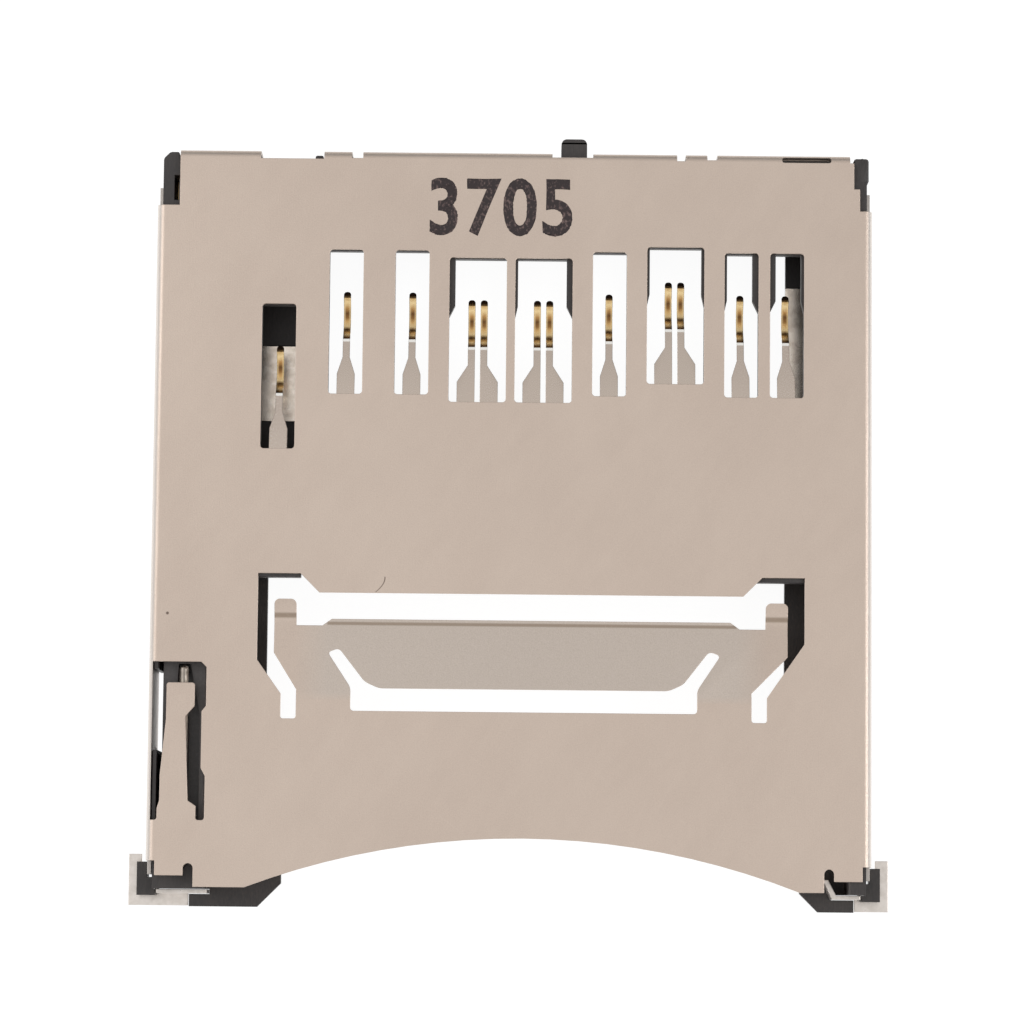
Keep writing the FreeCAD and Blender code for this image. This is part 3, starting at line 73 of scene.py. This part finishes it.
class Field:
    """A value that changes over a surface. Sums and products of fields add their nodes."""

    def __init__(self, wiring, socket):
        self.wiring = wiring
        self.socket = socket

    def combined(self, operation, *others):
        """This field worked on by a Math node, with other fields or numbers."""
        values = dict(enumerate((self,) + others))
        return self.wiring.node("ShaderNodeMath", {"operation": operation}, values)

    def __add__(self, other):
        return self.combined("ADD", other)

    def __sub__(self, other):
        return self.combined("SUBTRACT", other)

    def __rsub__(self, other):
        return self.wiring.node("ShaderNodeMath", {"operation": "SUBTRACT"}, {0: other, 1: self})

    def __mul__(self, other):
        return self.combined("MULTIPLY", other)

    __radd__ = __add__
    __rmul__ = __mul__

    def between(self, low, high):
        """0 below low, 1 above high, and an even rise from one to the other."""
        sockets = {"Value": self, "From Min": low, "From Max": high}
        return self.wiring.node("ShaderNodeMapRange", {}, sockets)

    def at_least(self, other):
        return self.combined("MAXIMUM", other)

    def size(self):
        return self.combined("ABSOLUTE")

    def within(self, low, high, soft):
        """1 from low to high, falling to 0 over the soft distance outside them."""
        return self.between(low - soft, low) * (1.0 - self.between(high, high + soft))


class Wiring:
    """Adds nodes to one node tree, of a material or of the world, and joins them."""

    def __init__(self, tree):
        self.tree = tree

    def node(self, kind, settings, sockets, output=0):
        """A node of one kind, with its settings and then the values or links of its sockets."""
        made = self.tree.nodes.new(kind)
        for name, value in settings.items():
            if name == "stops":
                points = made.color_ramp.elements
                for index, (place, colour) in enumerate(value):
                    point = points[index] if index < 2 else points.new(place)
                    point.position = place
                    point.color = (*colour, 1.0)
            else:
                setattr(made, name, value)
        for name, value in sockets.items():
            self.join(made.inputs[name], value)
        return Field(self, made.outputs[output])

    def join(self, socket, value):
        """Links a field to a socket, or gives the socket a plain value."""
        if isinstance(value, Field):
            self.tree.links.new(value.socket, socket)
        else:
            socket.default_value = value

    def axis(self, vector, name):
        return self.node("ShaderNodeSeparateXYZ", {}, {"Vector": vector}, name)


class Finish(Wiring):
    """The material of one kind of surface, built up from what it is made of."""

    def __init__(self, name, colour, roughness, metallic=0.0, edge=0.0):
        self.material = bpy.data.materials.new(name)
        self.material.use_nodes = True
        super().__init__(self.material.node_tree)
        self.shader = self.tree.nodes["Principled BSDF"]
        self.edge = edge
        self.shader.inputs["Base Color"].default_value = (*colour, 1.0)
        self.shader.inputs["Roughness"].default_value = roughness
        self.shader.inputs["Metallic"].default_value = metallic

    def place(self, name=None):
        """Where a point lies on the object, or one of its three coordinates in millimetres."""
        where = self.node("ShaderNodeTexCoord", {}, {}, "Object")
        return where if name is None else self.axis(where, name) * (1 / MM)

    def grain(self, size, stretch=(1.0, 1.0, 1.0), detail=2.0, turn=0.0):
        """Cloudy unevenness whose spots are about one size across, in millimetres."""
        scale = tuple(size * MM / length for length in stretch)
        sockets = {"Vector": self.place(), "Scale": scale, "Rotation": (0.0, 0.0, turn)}
        spread = self.node("ShaderNodeMapping", {"vector_type": "TEXTURE"}, sockets)
        return self.node("ShaderNodeTexNoise", {}, {"Vector": spread, "Scale": 1.0, "Detail": detail})

    def tint(self, share, plain, other):
        """A colour between two colours, by a field."""
        sockets = {0: share}
        for index, colour in ((6, plain), (7, other)):
            sockets[index] = (*colour, 1.0) if isinstance(colour, tuple) else colour
        return self.node("ShaderNodeMix", {"data_type": "RGBA"}, sockets, 2)

    def wear(self, colour=None, roughness=None, relief=None, depth=0.0):
        """Hands the finished fields to the shader. Relief is raised by depth, in millimetres, and the
        outer edges are dulled to the finish's edge radius."""
        if colour is not None:
            self.join(self.shader.inputs["Base Color"], colour)
        if roughness is not None:
            self.join(self.shader.inputs["Roughness"], roughness)
        if relief is not None:
            sockets = {"Height": relief, "Distance": depth * MM, "Strength": 1.0}
            if self.edge:
                sockets["Normal"] = self.node("ShaderNodeBevel", {"samples": 6}, {"Radius": self.edge * MM})
            self.join(self.shader.inputs["Normal"], self.node("ShaderNodeBump", {}, sockets))


def paint(red, green, blue):
    """A colour as the eye reads it, from 0 to 255, as the amounts of light it sends back."""
    return tuple(
        share / 12.92 if share <= 0.04045 else ((share + 0.055) / 1.055) ** 2.4
        for share in (red / 255, green / 255, blue / 255)
    )


table_white = paint(236, 236, 236)
table_shaded = paint(108, 108, 108)
table_glow = 0.93
table_size = 3.0
table = Finish("white_table", table_white, roughness=0.9)
seen, mirrored, let_through = (
    table.node("ShaderNodeLightPath", {}, {}, ray)
    for ray in ("Is Camera Ray", "Is Glossy Ray", "Is Transmission Ray")
)
table.shader.inputs["Emission Color"].default_value = (1.0, 1.0, 1.0, 1.0)
glow = seen.at_least(mirrored).at_least(let_through) * table_glow
table.join(table.shader.inputs["Emission Strength"], glow)
table.shader.inputs["Specular IOR Level"].default_value = 0.0
table.wear(colour=table.tint(seen, table_white, table_shaded))
table_level = cad_box[0][2]
bpy.ops.mesh.primitive_plane_add(size=table_size, location=(0, 0, table_level))
table_top = bpy.context.object
table_top.name = "table_top"
table_top.data.transform(table_top.matrix_world)
table_top.matrix_world.identity()
table_top.data.materials.append(table.material)

sky_strength = 0.93
rear_limit = 0.15
dimmer_rear = 0.32
dimmer_right = 0.13
dimmer_far_right = 0.20
world = bpy.data.worlds.new("studio")
bpy.context.scene.world = world
world.use_nodes = True
sky = Wiring(world.node_tree)
dome = sky.tree.nodes["Background"]
dome.inputs["Color"].default_value = (1.0, 1.0, 1.0, 1.0)
toward = sky.node("ShaderNodeTexCoord", {}, {}, "Generated")
to_rear = sky.axis(toward, "Y").at_least(rear_limit) * dimmer_rear
to_right = sky.axis(toward, "X")
to_far_right = to_right.at_least(0.0) * dimmer_far_right
sky.join(dome.inputs["Strength"], sky_strength - to_right * dimmer_right - to_far_right - to_rear)
for name, place, width, power in (
    ("left_softbox", (-0.30, 0.10, 0.35), 0.30, 0.42),
    ("right_softbox", (0.32, -0.05, 0.30), 0.25, 0.68),
):
    lamp = bpy.data.lights.new(name, "AREA")
    lamp.size = width
    lamp.energy = power
    box = bpy.data.objects.new(name, lamp)
    bpy.context.scene.collection.objects.link(box)
    box.location = place
    box.rotation_euler = Vector(place).to_track_quat("Z", "Y").to_euler()

aim = Vector((0.0, 0.53, 3.2)) * MM
eye = Vector((0.0, -14.50, 152.45)) * MM
roll = 0.0100
lens = bpy.data.cameras.new("camera")
lens.sensor_width = 36.0
lens.lens = 139.75
lens.clip_start = 0.01
camera = bpy.data.objects.new("camera", lens)
bpy.context.scene.collection.objects.link(camera)
camera.location = eye
camera.rotation_mode = "QUATERNION"
camera.rotation_quaternion = (aim - eye).to_track_quat("-Z", "Y") @ Quaternion((0, 0, 1), roll)
bpy.context.scene.camera = camera
bpy.context.scene.view_settings.view_transform = "Standard"

# Housing: one black moulding of glass-filled nylon with a matt, slightly cloudy skin. The cover snaps
# over its side lugs, and two pegs below hold it on the board. This copy of the solid has the rounded
# rear peg and corner posts of the mould.
plastic_black = paint(42, 39, 39)
plastic_pale = paint(60, 55, 53)
housing_finish = Finish("moulded_black", plastic_black, roughness=0.5, edge=0.05)
housing_finish.shader.inputs["Specular IOR Level"].default_value = 0.42
fibres = housing_finish.grain(0.06, stretch=(1.0, 0.25, 1.0), detail=3.0)
cloud = housing_finish.grain(2.5)
paler = (fibres * 0.7 + cloud * 0.6).between(0.45, 0.9)
housing_finish.wear(
    colour=housing_finish.tint(paler, plastic_black, plastic_pale),
    roughness=fibres * 0.25 + 0.36,
    relief=fibres,
    depth=0.004,
)
nearly = 0.01 * MM
same_point = 0.001 * MM


def clean_copy(node_name, name):
    """Selects and returns a copy of a solid's mesh, merged, with its flat faces in one piece."""
    copy = bpy.data.objects.new(name, nodes[node_name].data.copy())
    bpy.context.scene.collection.objects.link(copy)
    copy.select_set(True)
    bpy.context.view_layer.objects.active = copy
    bpy.context.tool_settings.mesh_select_mode = (False, True, False)
    bpy.ops.object.mode_set(mode="EDIT")
    bpy.ops.mesh.select_all(action="SELECT")
    bpy.ops.mesh.customdata_custom_splitnormals_clear()
    bpy.ops.mesh.remove_doubles(threshold=same_point)
    bpy.ops.mesh.dissolve_limited(angle_limit=math.radians(1))
    bpy.ops.mesh.select_all(action="DESELECT")
    bpy.ops.object.mode_set(mode="OBJECT")
    return copy


def ends(edge, mesh):
    """Where an edge starts and ends."""
    return (mesh.vertices[index].co for index in edge.vertices)


def upright(start, end):
    """Whether an edge between two points stands straight up."""
    return max(abs(start.x - end.x), abs(start.y - end.y)) < nearly < abs(start.z - end.z)


def round_off(radius, steps):
    """Rounds the selected edges of the active piece and leaves nothing selected on it."""
    bpy.ops.object.mode_set(mode="EDIT")
    bpy.ops.mesh.bevel(offset=radius, segments=steps, affect="EDGES")
    bpy.ops.mesh.select_all(action="DESELECT")
    bpy.ops.object.mode_set(mode="OBJECT")


def smooth(piece, degrees, flats_stay_flat=False):
    """Smooths what turns by less than an angle; wide flat faces can be kept evenly lit."""
    bpy.ops.object.shade_smooth_by_angle(angle=math.radians(degrees))
    if flats_stay_flat:
        flats = piece.modifiers.new("flats_stay_flat", "WEIGHTED_NORMAL")
        flats.weight = 100
        flats.keep_sharp = True
        bpy.ops.object.modifier_apply(modifier=flats.name)


def hand_over(piece, finish, node_name):
    """Gives a finished copy its material and its place in the part."""
    piece.data.materials.clear()
    piece.data.materials.append(finish.material)
    piece.select_set(False)
    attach(piece, "socket_frame")
    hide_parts(node_name)


peg_left, peg_right = 1.75 * MM, 2.73 * MM
peg_low, peg_high = 2.0 * MM, 2.9 * MM
peg_reach = 0.2 * MM
peg_rear = 14.80 * MM
post_rear = 13.9 * MM
behind_all = 1.0
peg_round = 0.20 * MM
post_round = 0.07 * MM
moulding = clean_copy("housing", "housing_moulding")
for vertex in moulding.data.vertices:
    place = vertex.co
    beside = peg_left - peg_reach < place.x < peg_right + peg_reach
    if beside and place.y > post_rear and peg_low < place.z < peg_high:
        place.x = peg_left if place.x < (peg_left + peg_right) / 2 else peg_right
for radius, steps, nearest, farthest in (
    (peg_round, 4, peg_rear, behind_all),
    (post_round, 3, post_rear, peg_rear),
):
    for edge in moulding.data.edges:
        start, end = ends(edge, moulding.data)
        edge.select = upright(start, end) and nearest < start.y < farthest
    round_off(radius, steps)
smooth(moulding, degrees=25, flats_stay_flat=True)
hand_over(moulding, housing_finish, "housing")

# Gussets and corner: at each end of the contact carrier a small ledge of the same moulding shows in the
# rear corner of the opening beside the card brake, and a stout block ends the right wall at the rear.
for name, low, high, rounding in (
    ("left_gusset", (-9.95, -2.00, 2.50), (-7.94, -1.30, 3.04), 0.03),
    ("right_gusset", (8.93, -2.04, 2.50), (11.30, -1.40, 3.04), 0.03),
    ("right_corner", (12.90, 13.25, 0.05), (13.48, 14.23, 3.01), 0.11),
):
    middle = (Vector(low) + Vector(high)) * MM / 2
    lengths = (Vector(high) - Vector(low)) * MM
    bpy.ops.mesh.primitive_cube_add(size=1.0, location=middle, scale=lengths)
    block = bpy.context.object
    block.name = name
    bpy.ops.object.transform_apply(location=True, rotation=True, scale=True)
    round_off(rounding * MM, steps=2)
    smooth(block, degrees=30)
    block.data.materials.append(housing_finish.material)
    block.select_set(False)
    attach(block, "socket_frame")

# Card switch and lock switch: two leaves of gold-plated spring strip stand in slots of the housing,
# and two nickel-plated plates lie in its floor as their counter-contacts.
def dress(names, finish):
    """Gives solids that keep their shape their material."""
    for name in names:
        node = nodes[name]
        node.data.materials.clear()
        node.data.materials.append(finish.material)


leaf_gold = paint(186, 158, 112)
leaf_finish = Finish("gold_plated_leaf", leaf_gold, roughness=0.3, metallic=1.0)
leaf_grain = leaf_finish.grain(0.08, stretch=(4.0, 1.0, 1.0))
leaf_finish.wear(roughness=leaf_grain * 0.2 + 0.2, relief=leaf_grain, depth=0.002)
dress(["detect_switch_spring", "write_protect_spring"], leaf_finish)
plate_nickel = paint(214, 200, 187)
# Both plates are coloured lighter than the other nickel parts: a painted reflection, in random clouds.
plate_reflection_bright = paint(240, 228, 215)
plate_reflection_dull = paint(214, 200, 186)
plate_finish = Finish("nickel_plated_strip", plate_nickel, roughness=0.12, metallic=1.0)
plate_grain = plate_finish.grain(0.05, stretch=(1.0, 6.0, 1.0))
plate_cloud = plate_finish.grain(0.4)
plate_finish.wear(
    colour=plate_finish.tint(plate_cloud.between(0.4, 0.7), plate_reflection_bright, plate_reflection_dull),
    roughness=plate_grain * 0.10 + 0.17,
    relief=plate_grain,
    depth=0.0005,
)
dress(["detect_switch_terminal", "write_protect_terminal"], plate_finish)

# Contacts: nine strips stamped from nickel-plated spring bronze. Each sprung end is rounded off, curled
# down to the card and gold-plated from its bend on; the root is clamped in the carrier under the cover.
# Each copy says at every point how far it lies from the tip and where across the beam, in millimetres.
contact_names = ["contact_9"] + [f"contact_{pin}" for pin in range(1, 9)]
spoon_low, spoon_high = 1.2, 2.1
beam_level = 2.45
beam_start = 1.97
past_the_tip = 9.0
band_length = 2.0
band_end = 0.03
tip_round = 0.12 * MM
band_wobble_from, band_wobble_to = 0.2, 1.7
band_stray = 0.05
edge_highlight_from, edge_highlight_to = 0.24, 1.6
edge_highlight_strength = 0.65
contact_nickel = paint(200, 186, 174)
gold_highlight = paint(252, 224, 172)
# Painted shade and highlights along the gold: dark end, bright and dark bands, white line at the bend.
gold_shade_and_highlight_bands = (
    (0.00, paint(92, 72, 58)), (0.07, paint(80, 60, 46)), (0.12, paint(216, 176, 118)),
    (0.20, paint(252, 224, 170)), (0.31, paint(186, 142, 88)), (0.40, paint(108, 76, 46)),
    (0.49, paint(146, 106, 62)), (0.57, paint(222, 180, 120)), (0.66, paint(244, 214, 160)),
    (0.73, paint(132, 98, 62)), (0.79, paint(226, 198, 156)), (0.84, paint(255, 246, 228)),
    (0.90, paint(120, 94, 70)), (0.925, paint(84, 66, 52)), (0.935, paint(255, 252, 246)),
    (0.98, paint(255, 252, 246)), (1.00, paint(196, 182, 170)),
)
contact_finish = Finish("part_gold_contact", contact_nickel, roughness=0.3, metallic=1.0, edge=0.03)
spoon_place = contact_finish.node("ShaderNodeAttribute", {"attribute_name": "spoon_place"}, {}, "Vector")
from_tip = contact_finish.axis(spoon_place, "X")
off_middle = contact_finish.axis(spoon_place, "Y").size()
strip_grain = contact_finish.grain(0.05, stretch=(5.0, 1.0, 1.0))
# A cloudy field makes the edges of the painted shade and highlight bands uneven.
band_wobble = contact_finish.grain(0.09, stretch=(1.0, 0.4, 1.0), detail=3.0)
strayed = (band_wobble - 0.5) * band_stray * from_tip.within(band_wobble_from, band_wobble_to, 0.1)
along_spoon = from_tip * (1 / band_length) + strayed
painted_bands = contact_finish.node("ShaderNodeValToRGB", {"stops": gold_shade_and_highlight_bands}, {"Fac": along_spoon})
# Painted highlight on the rounded sides of each gold tip, lighter away from the middle.
edge_highlight = off_middle.between(0.35, 0.85) * from_tip.within(edge_highlight_from, edge_highlight_to, 0.05)
gold = contact_finish.tint(edge_highlight * edge_highlight_strength, painted_bands, gold_highlight)
bare = from_tip.between(band_length - band_end, band_length)
contact_finish.wear(
    colour=contact_finish.tint(bare, gold, contact_nickel),
    roughness=strip_grain * 0.12 + 0.2,
    relief=strip_grain,
    depth=0.0008,
)
for name in contact_names:
    strip = clean_copy(name, name.replace("contact", "contact_strip"))
    mesh = strip.data
    points = [vertex.co for vertex in mesh.vertices]
    sprung = [point for point in points if spoon_low * MM < point.z < spoon_high * MM]
    tip = max(point.y for point in sprung)
    end_points = [point for point in sprung if point.y > tip - nearly]
    for edge in mesh.edges:
        start, end = ends(edge, mesh)
        rises = abs(start.x - end.x) < nearly < abs(start.z - end.z)
        at_tip = tip - nearly < min(start.y, end.y) and max(start.y, end.y) < tip + nearly
        edge.select = rises and at_tip and max(start.z, end.z) < spoon_high * MM
    edges_across = sorted({round(point.x / MM, 3) for point in end_points})
    beams = list(zip(edges_across[::2], edges_across[1::2]))
    round_off(tip_round, steps=5)
    places = mesh.attributes.new("spoon_place", "FLOAT_VECTOR", "POINT")
    for vertex, place in zip(mesh.vertices, places.data):
        x, y, z = vertex.co / MM
        left, right = min(beams, key=lambda beam: abs(beam[0] + beam[1] - 2 * x))
        reach = tip / MM - y
        if reach < -nearly / MM:
            reach = past_the_tip
        elif z > beam_level or z < spoon_low:
            reach = max(reach, beam_start)
        place.vector = (reach, (2 * x - left - right) / (right - left), 0.0)
    smooth(strip, degrees=30)
    hand_over(strip, contact_finish, name)

# Ejector slide: smooth dark grey moulding that runs in the left channel, with a heart-shaped track in
# its head. The card's corner pushes its catch.
slide_grey = paint(70, 66, 65)
slide_pale = paint(84, 80, 79)
slide_finish = Finish("moulded_grey", slide_grey, roughness=0.42, edge=0.04)
slide_grain = slide_finish.grain(0.10)
slide_finish.wear(
    colour=slide_finish.tint(slide_grain.between(0.3, 0.8), slide_grey, slide_pale),
    roughness=slide_grain * 0.2 + 0.32,
    relief=slide_grain,
    depth=0.002,
)
dress(["slider"], slide_finish)

# Ejector spring and cam follower: drawn stainless wire. The spring pushes the slide to the mouth from its
# seat in the rear block. The follower's short leg turns in the housing, while its long leg runs in the
# track.
steel = paint(205, 203, 202)
wire_finish = Finish("drawn_steel_wire", steel, roughness=0.25, metallic=1.0)
draw_lines = wire_finish.grain(0.03, stretch=(1.0, 0.1, 1.0))
wire_finish.wear(roughness=draw_lines * 0.15 + 0.18, relief=draw_lines, depth=0.001)
spring = clean_copy("eject_spring", "return_spring")
smooth(spring, degrees=70)
hand_over(spring, wire_finish, "eject_spring")
travel = next(joint for joint in frame["joints"] if joint["name"] == "slider_travel")
spring_seat = travel["deforming_nodes"][0]["fixed_end_y_m"]
free_length = spring_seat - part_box("eject_spring")[0][1]
keep = 1.0 - travel["range_m"][1] / free_length
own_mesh(spring)
# The follower is coloured darker than the spring wire, with darker streaks along it.
follower_grey = paint(150, 141, 132)
follower_dark_grey = paint(118, 110, 102)
follower_finish = Finish("dark_follower_wire", follower_grey, roughness=0.4, metallic=1.0)
follower_streaks = follower_finish.grain(0.05, stretch=(1.0, 0.2, 1.0))
follower_finish.wear(
    colour=follower_finish.tint(follower_streaks.between(0.4, 0.7), follower_grey, follower_dark_grey),
    roughness=follower_streaks * 0.3 + 0.25,
    relief=follower_streaks,
    depth=0.002,
)
dress(["cam_follower"], follower_finish)

# Solder tabs: tin-plated feet at the front corners, stamped with an upright blade that is pressed
# into the housing.
tin = paint(226, 218, 211)
dull_tin = paint(212, 204, 196)
tab_finish = Finish("tin_plated_tab", tin, roughness=0.3, metallic=1.0, edge=0.04)
tab_cloud = tab_finish.grain(0.25)
tab_grain = tab_finish.grain(0.04)
tab_finish.wear(
    colour=tab_finish.tint(tab_cloud.between(0.35, 0.7), tin, dull_tin),
    roughness=tab_cloud * 0.2 + 0.22,
    relief=tab_grain,
    depth=0.002,
)
dress(["left_hold_down", "right_hold_down"], tab_finish)

# Cover: stamped and folded from one sheet of nickel silver, mill finish with faint rolling lines, soft
# stains from handling and a few hair scratches. Its side walls snap over lugs of the housing. This copy
# of the solid has the rounded corners of the card brake. Places on it are in millimetres.
sheet_colour = paint(203, 187, 174)
stain_colour = paint(187, 171, 159)
# Painted shade on the folded walls: greyer at the sides, darker on the rear fold.
fold_shade_colour = paint(186, 179, 173)
rear_fold_shade_colour = paint(150, 138, 128)
plate_colour = paint(198, 186, 176)
plate_stain_colour = paint(188, 176, 165)
# Painted shadow in the crease along the brake plate's rear edge and at the bends of its tabs.
crease_shadow_colour = paint(140, 124, 108)
scratch_colour = paint(216, 202, 190)
hair_colour = paint(92, 78, 70)
sprung_along, sprung_across = (-6.6, -3.2), (-9.2, 10.7)
plate_across = (-6.9, 8.5)
crease_along = (-3.75, -3.68)
tab_crease_along, between_tabs = (-3.48, -3.38), (-7.6, 9.1)
side_fold, rear_fold = (13.33, 13.38), (13.9, 14.0)
sheet_face = (0.06, 0.01)
soft, tab_soft, plate_fade = 0.05, 0.08, 1.2
hair_place, hair_along, hair_bend = (-4.76, -2.0), (-2.54, -1.98), 1.16
hair_width, hair_soft = (0.008, 0.03), 0.02
speck_place, speck_square = (-12.93, -3.42), (0.0012, 0.0049)
crease_shadow_strength, tab_crease_shadow_strength = 0.75, 0.8
scratch_strength, mark_strength = 0.09, 0.85
cover_finish = Finish("nickel_silver_sheet", sheet_colour, roughness=0.4, metallic=1.0, edge=0.035)
rolling = cover_finish.grain(0.035, stretch=(1.0, 0.06, 1.0), detail=3.0)
sand = cover_finish.grain(0.045, stretch=(1.0, 1.0, 1.0), detail=4.0)
stain = cover_finish.grain(5.0, stretch=(1.0, 0.6, 1.0), detail=4.0, turn=0.35)
smear = cover_finish.grain(0.7, stretch=(1.0, 0.35, 1.0), detail=4.0, turn=-0.6)
scratch_right = cover_finish.grain(0.05, stretch=(1.0, 0.015, 1.0), detail=0.0, turn=0.9).between(0.73, 0.83)
scratch_left = cover_finish.grain(0.05, stretch=(1.0, 0.012, 1.0), detail=0.0, turn=-0.5).between(0.75, 0.85)
sheet_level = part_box("cover_shell")[1][2]
top = sheet_level / MM
right, rear, level = (cover_finish.place(name) for name in "XYZ")
below_top = 1.0 - level.between(top - sheet_face[0], top - sheet_face[1])
sprung = below_top * (rear.within(*sprung_along, soft) * right.within(*sprung_across, soft))
folded = below_top * right.size().between(*side_fold).at_least(rear.between(*rear_fold))
crease_shadow = rear.within(*crease_along, soft) * right.within(*plate_across, soft) * sprung
plate = sprung * right.within(*plate_across, plate_fade)
outside_tabs = 1.0 - right.within(*between_tabs, soft)
tab_crease_shadow = outside_tabs * rear.within(*tab_crease_along, tab_soft) * sprung
hair_drop = rear - hair_place[1]
hair_way = (right - hair_place[0] + hair_drop * hair_drop * hair_bend).size()
hair = (1.0 - hair_way.between(*hair_width)) * rear.within(*hair_along, hair_soft)
speck_right, speck_rear = right - speck_place[0], rear - speck_place[1]
speck = 1.0 - (speck_right * speck_right + speck_rear * speck_rear).between(*speck_square)
clouds = stain.between(0.36, 0.70) * 0.35 + smear.between(0.35, 0.75) * 0.16
mottle = clouds + (sand - 0.5) * 1.3 + 0.15
plate_tone = cover_finish.tint(sand.between(0.35, 0.7), plate_colour, plate_stain_colour)
tone = cover_finish.tint(mottle, sheet_colour, stain_colour)
tone = cover_finish.tint(plate, tone, plate_tone)
# Painted shade on the side and rear walls beyond the folds.
tone = cover_finish.tint(folded, tone, fold_shade_colour)
tone = cover_finish.tint(folded * rear.between(*rear_fold), tone, rear_fold_shade_colour)
# Painted shadow in the creases of the card brake.
painted_crease_shadows = crease_shadow * crease_shadow_strength + tab_crease_shadow * tab_crease_shadow_strength
tone = cover_finish.tint(painted_crease_shadows, tone, crease_shadow_colour)
tone = cover_finish.tint((scratch_right + scratch_left) * scratch_strength, tone, scratch_colour)
tone = cover_finish.tint((hair + speck) * mark_strength, tone, hair_colour)
cover_finish.wear(
    colour=tone,
    roughness=rolling * 0.12 + sand * 0.16 + stain * 0.1 + 0.24,
    relief=rolling * 0.5 + sand,
    depth=0.004,
)
brake_left, brake_right = -7.2 * MM, 8.6 * MM
brake_front, brake_rear = -7.4 * MM, -4.0 * MM
slot_round = 0.14 * MM
sharp_turn = math.radians(20)
cover = clean_copy("cover_shell", "cover_folded")
walls = {}
for face in cover.data.polygons:
    for key in face.edge_keys:
        walls.setdefault(key, []).append(face.normal)
for edge in cover.data.edges:
    start, end = ends(edge, cover.data)
    beside_brake = brake_left < start.x < brake_right and brake_front < start.y < brake_rear
    if upright(start, end) and beside_brake:
        one_wall, next_wall = walls[edge.key]
        edge.select = one_wall.angle(next_wall) > sharp_turn
round_off(slot_round, steps=5)
smooth(cover, degrees=30, flats_stay_flat=True)
hand_over(cover, cover_finish, "cover_shell")

# Lot number: four figures printed in quick-drying black ink on the rear of the cover, a little ragged
# at their edges.
figures = "3705"
figure_pitch = 1.44 * MM
figure_height = 2.10 * MM
height_share = 0.70
bolder = 0.055 * MM
narrower = 0.88
first_figure, figure_row = -2.69 * MM, 11.16 * MM
ink_height = 0.006 * MM
ragged = 0.026 * MM
ink_black = paint(60, 48, 50)
ink = Finish("printing_ink", ink_black, roughness=0.55)
ink_dark = paint(30, 15, 16)
# The lighter blots are a painted sheen on the ink.
ink_sheen = paint(108, 88, 84)
blots = ink.grain(0.09, stretch=(1.0, 0.7, 1.0), detail=3.0)
ink.wear(
    colour=ink.tint(blots.between(0.52, 0.76), ink_dark, ink_sheen),
    roughness=blots * 0.3 + 0.4,
    relief=blots,
    depth=0.01,
)
printed = []
for place, figure in enumerate(figures):
    bpy.ops.object.text_add(location=(0, 0, 0))
    letter = bpy.context.object
    letter.data.body = figure
    letter.data.align_x = "CENTER"
    letter.data.size = figure_height / height_share
    letter.data.offset = bolder
    letter.data.extrude = ink_height / 2
    letter.data.resolution_u = 8
    bpy.ops.object.convert(target="MESH")
    letter = bpy.context.object
    letter.scale.x = narrower
    letter.location = (place * figure_pitch + first_figure, figure_row, sheet_level + ink_height / 2)
    bpy.ops.object.transform_apply(location=True, rotation=True, scale=True)
    printed.append(letter)
for letter in printed:
    letter.select_set(True)
bpy.context.view_layer.objects.active = printed[0]
bpy.ops.object.join()
lot_number = bpy.context.object
lot_number.name = "lot_number"
bpy.ops.object.mode_set(mode="EDIT")
bpy.ops.mesh.select_all(action="SELECT")
bpy.ops.mesh.remove_doubles(threshold=same_point)
bpy.ops.mesh.subdivide(number_cuts=1)
bpy.ops.transform.vertex_random(offset=ragged, seed=7)
bpy.ops.object.mode_set(mode="OBJECT")
for vertex in lot_number.data.vertices:
    vertex.co.z = min(max(vertex.co.z, sheet_level), sheet_level + ink_height)
lot_number.data.materials.clear()
lot_number.data.materials.append(ink.material)
bpy.ops.object.select_all(action="DESELECT")
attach(lot_number, "socket_frame")
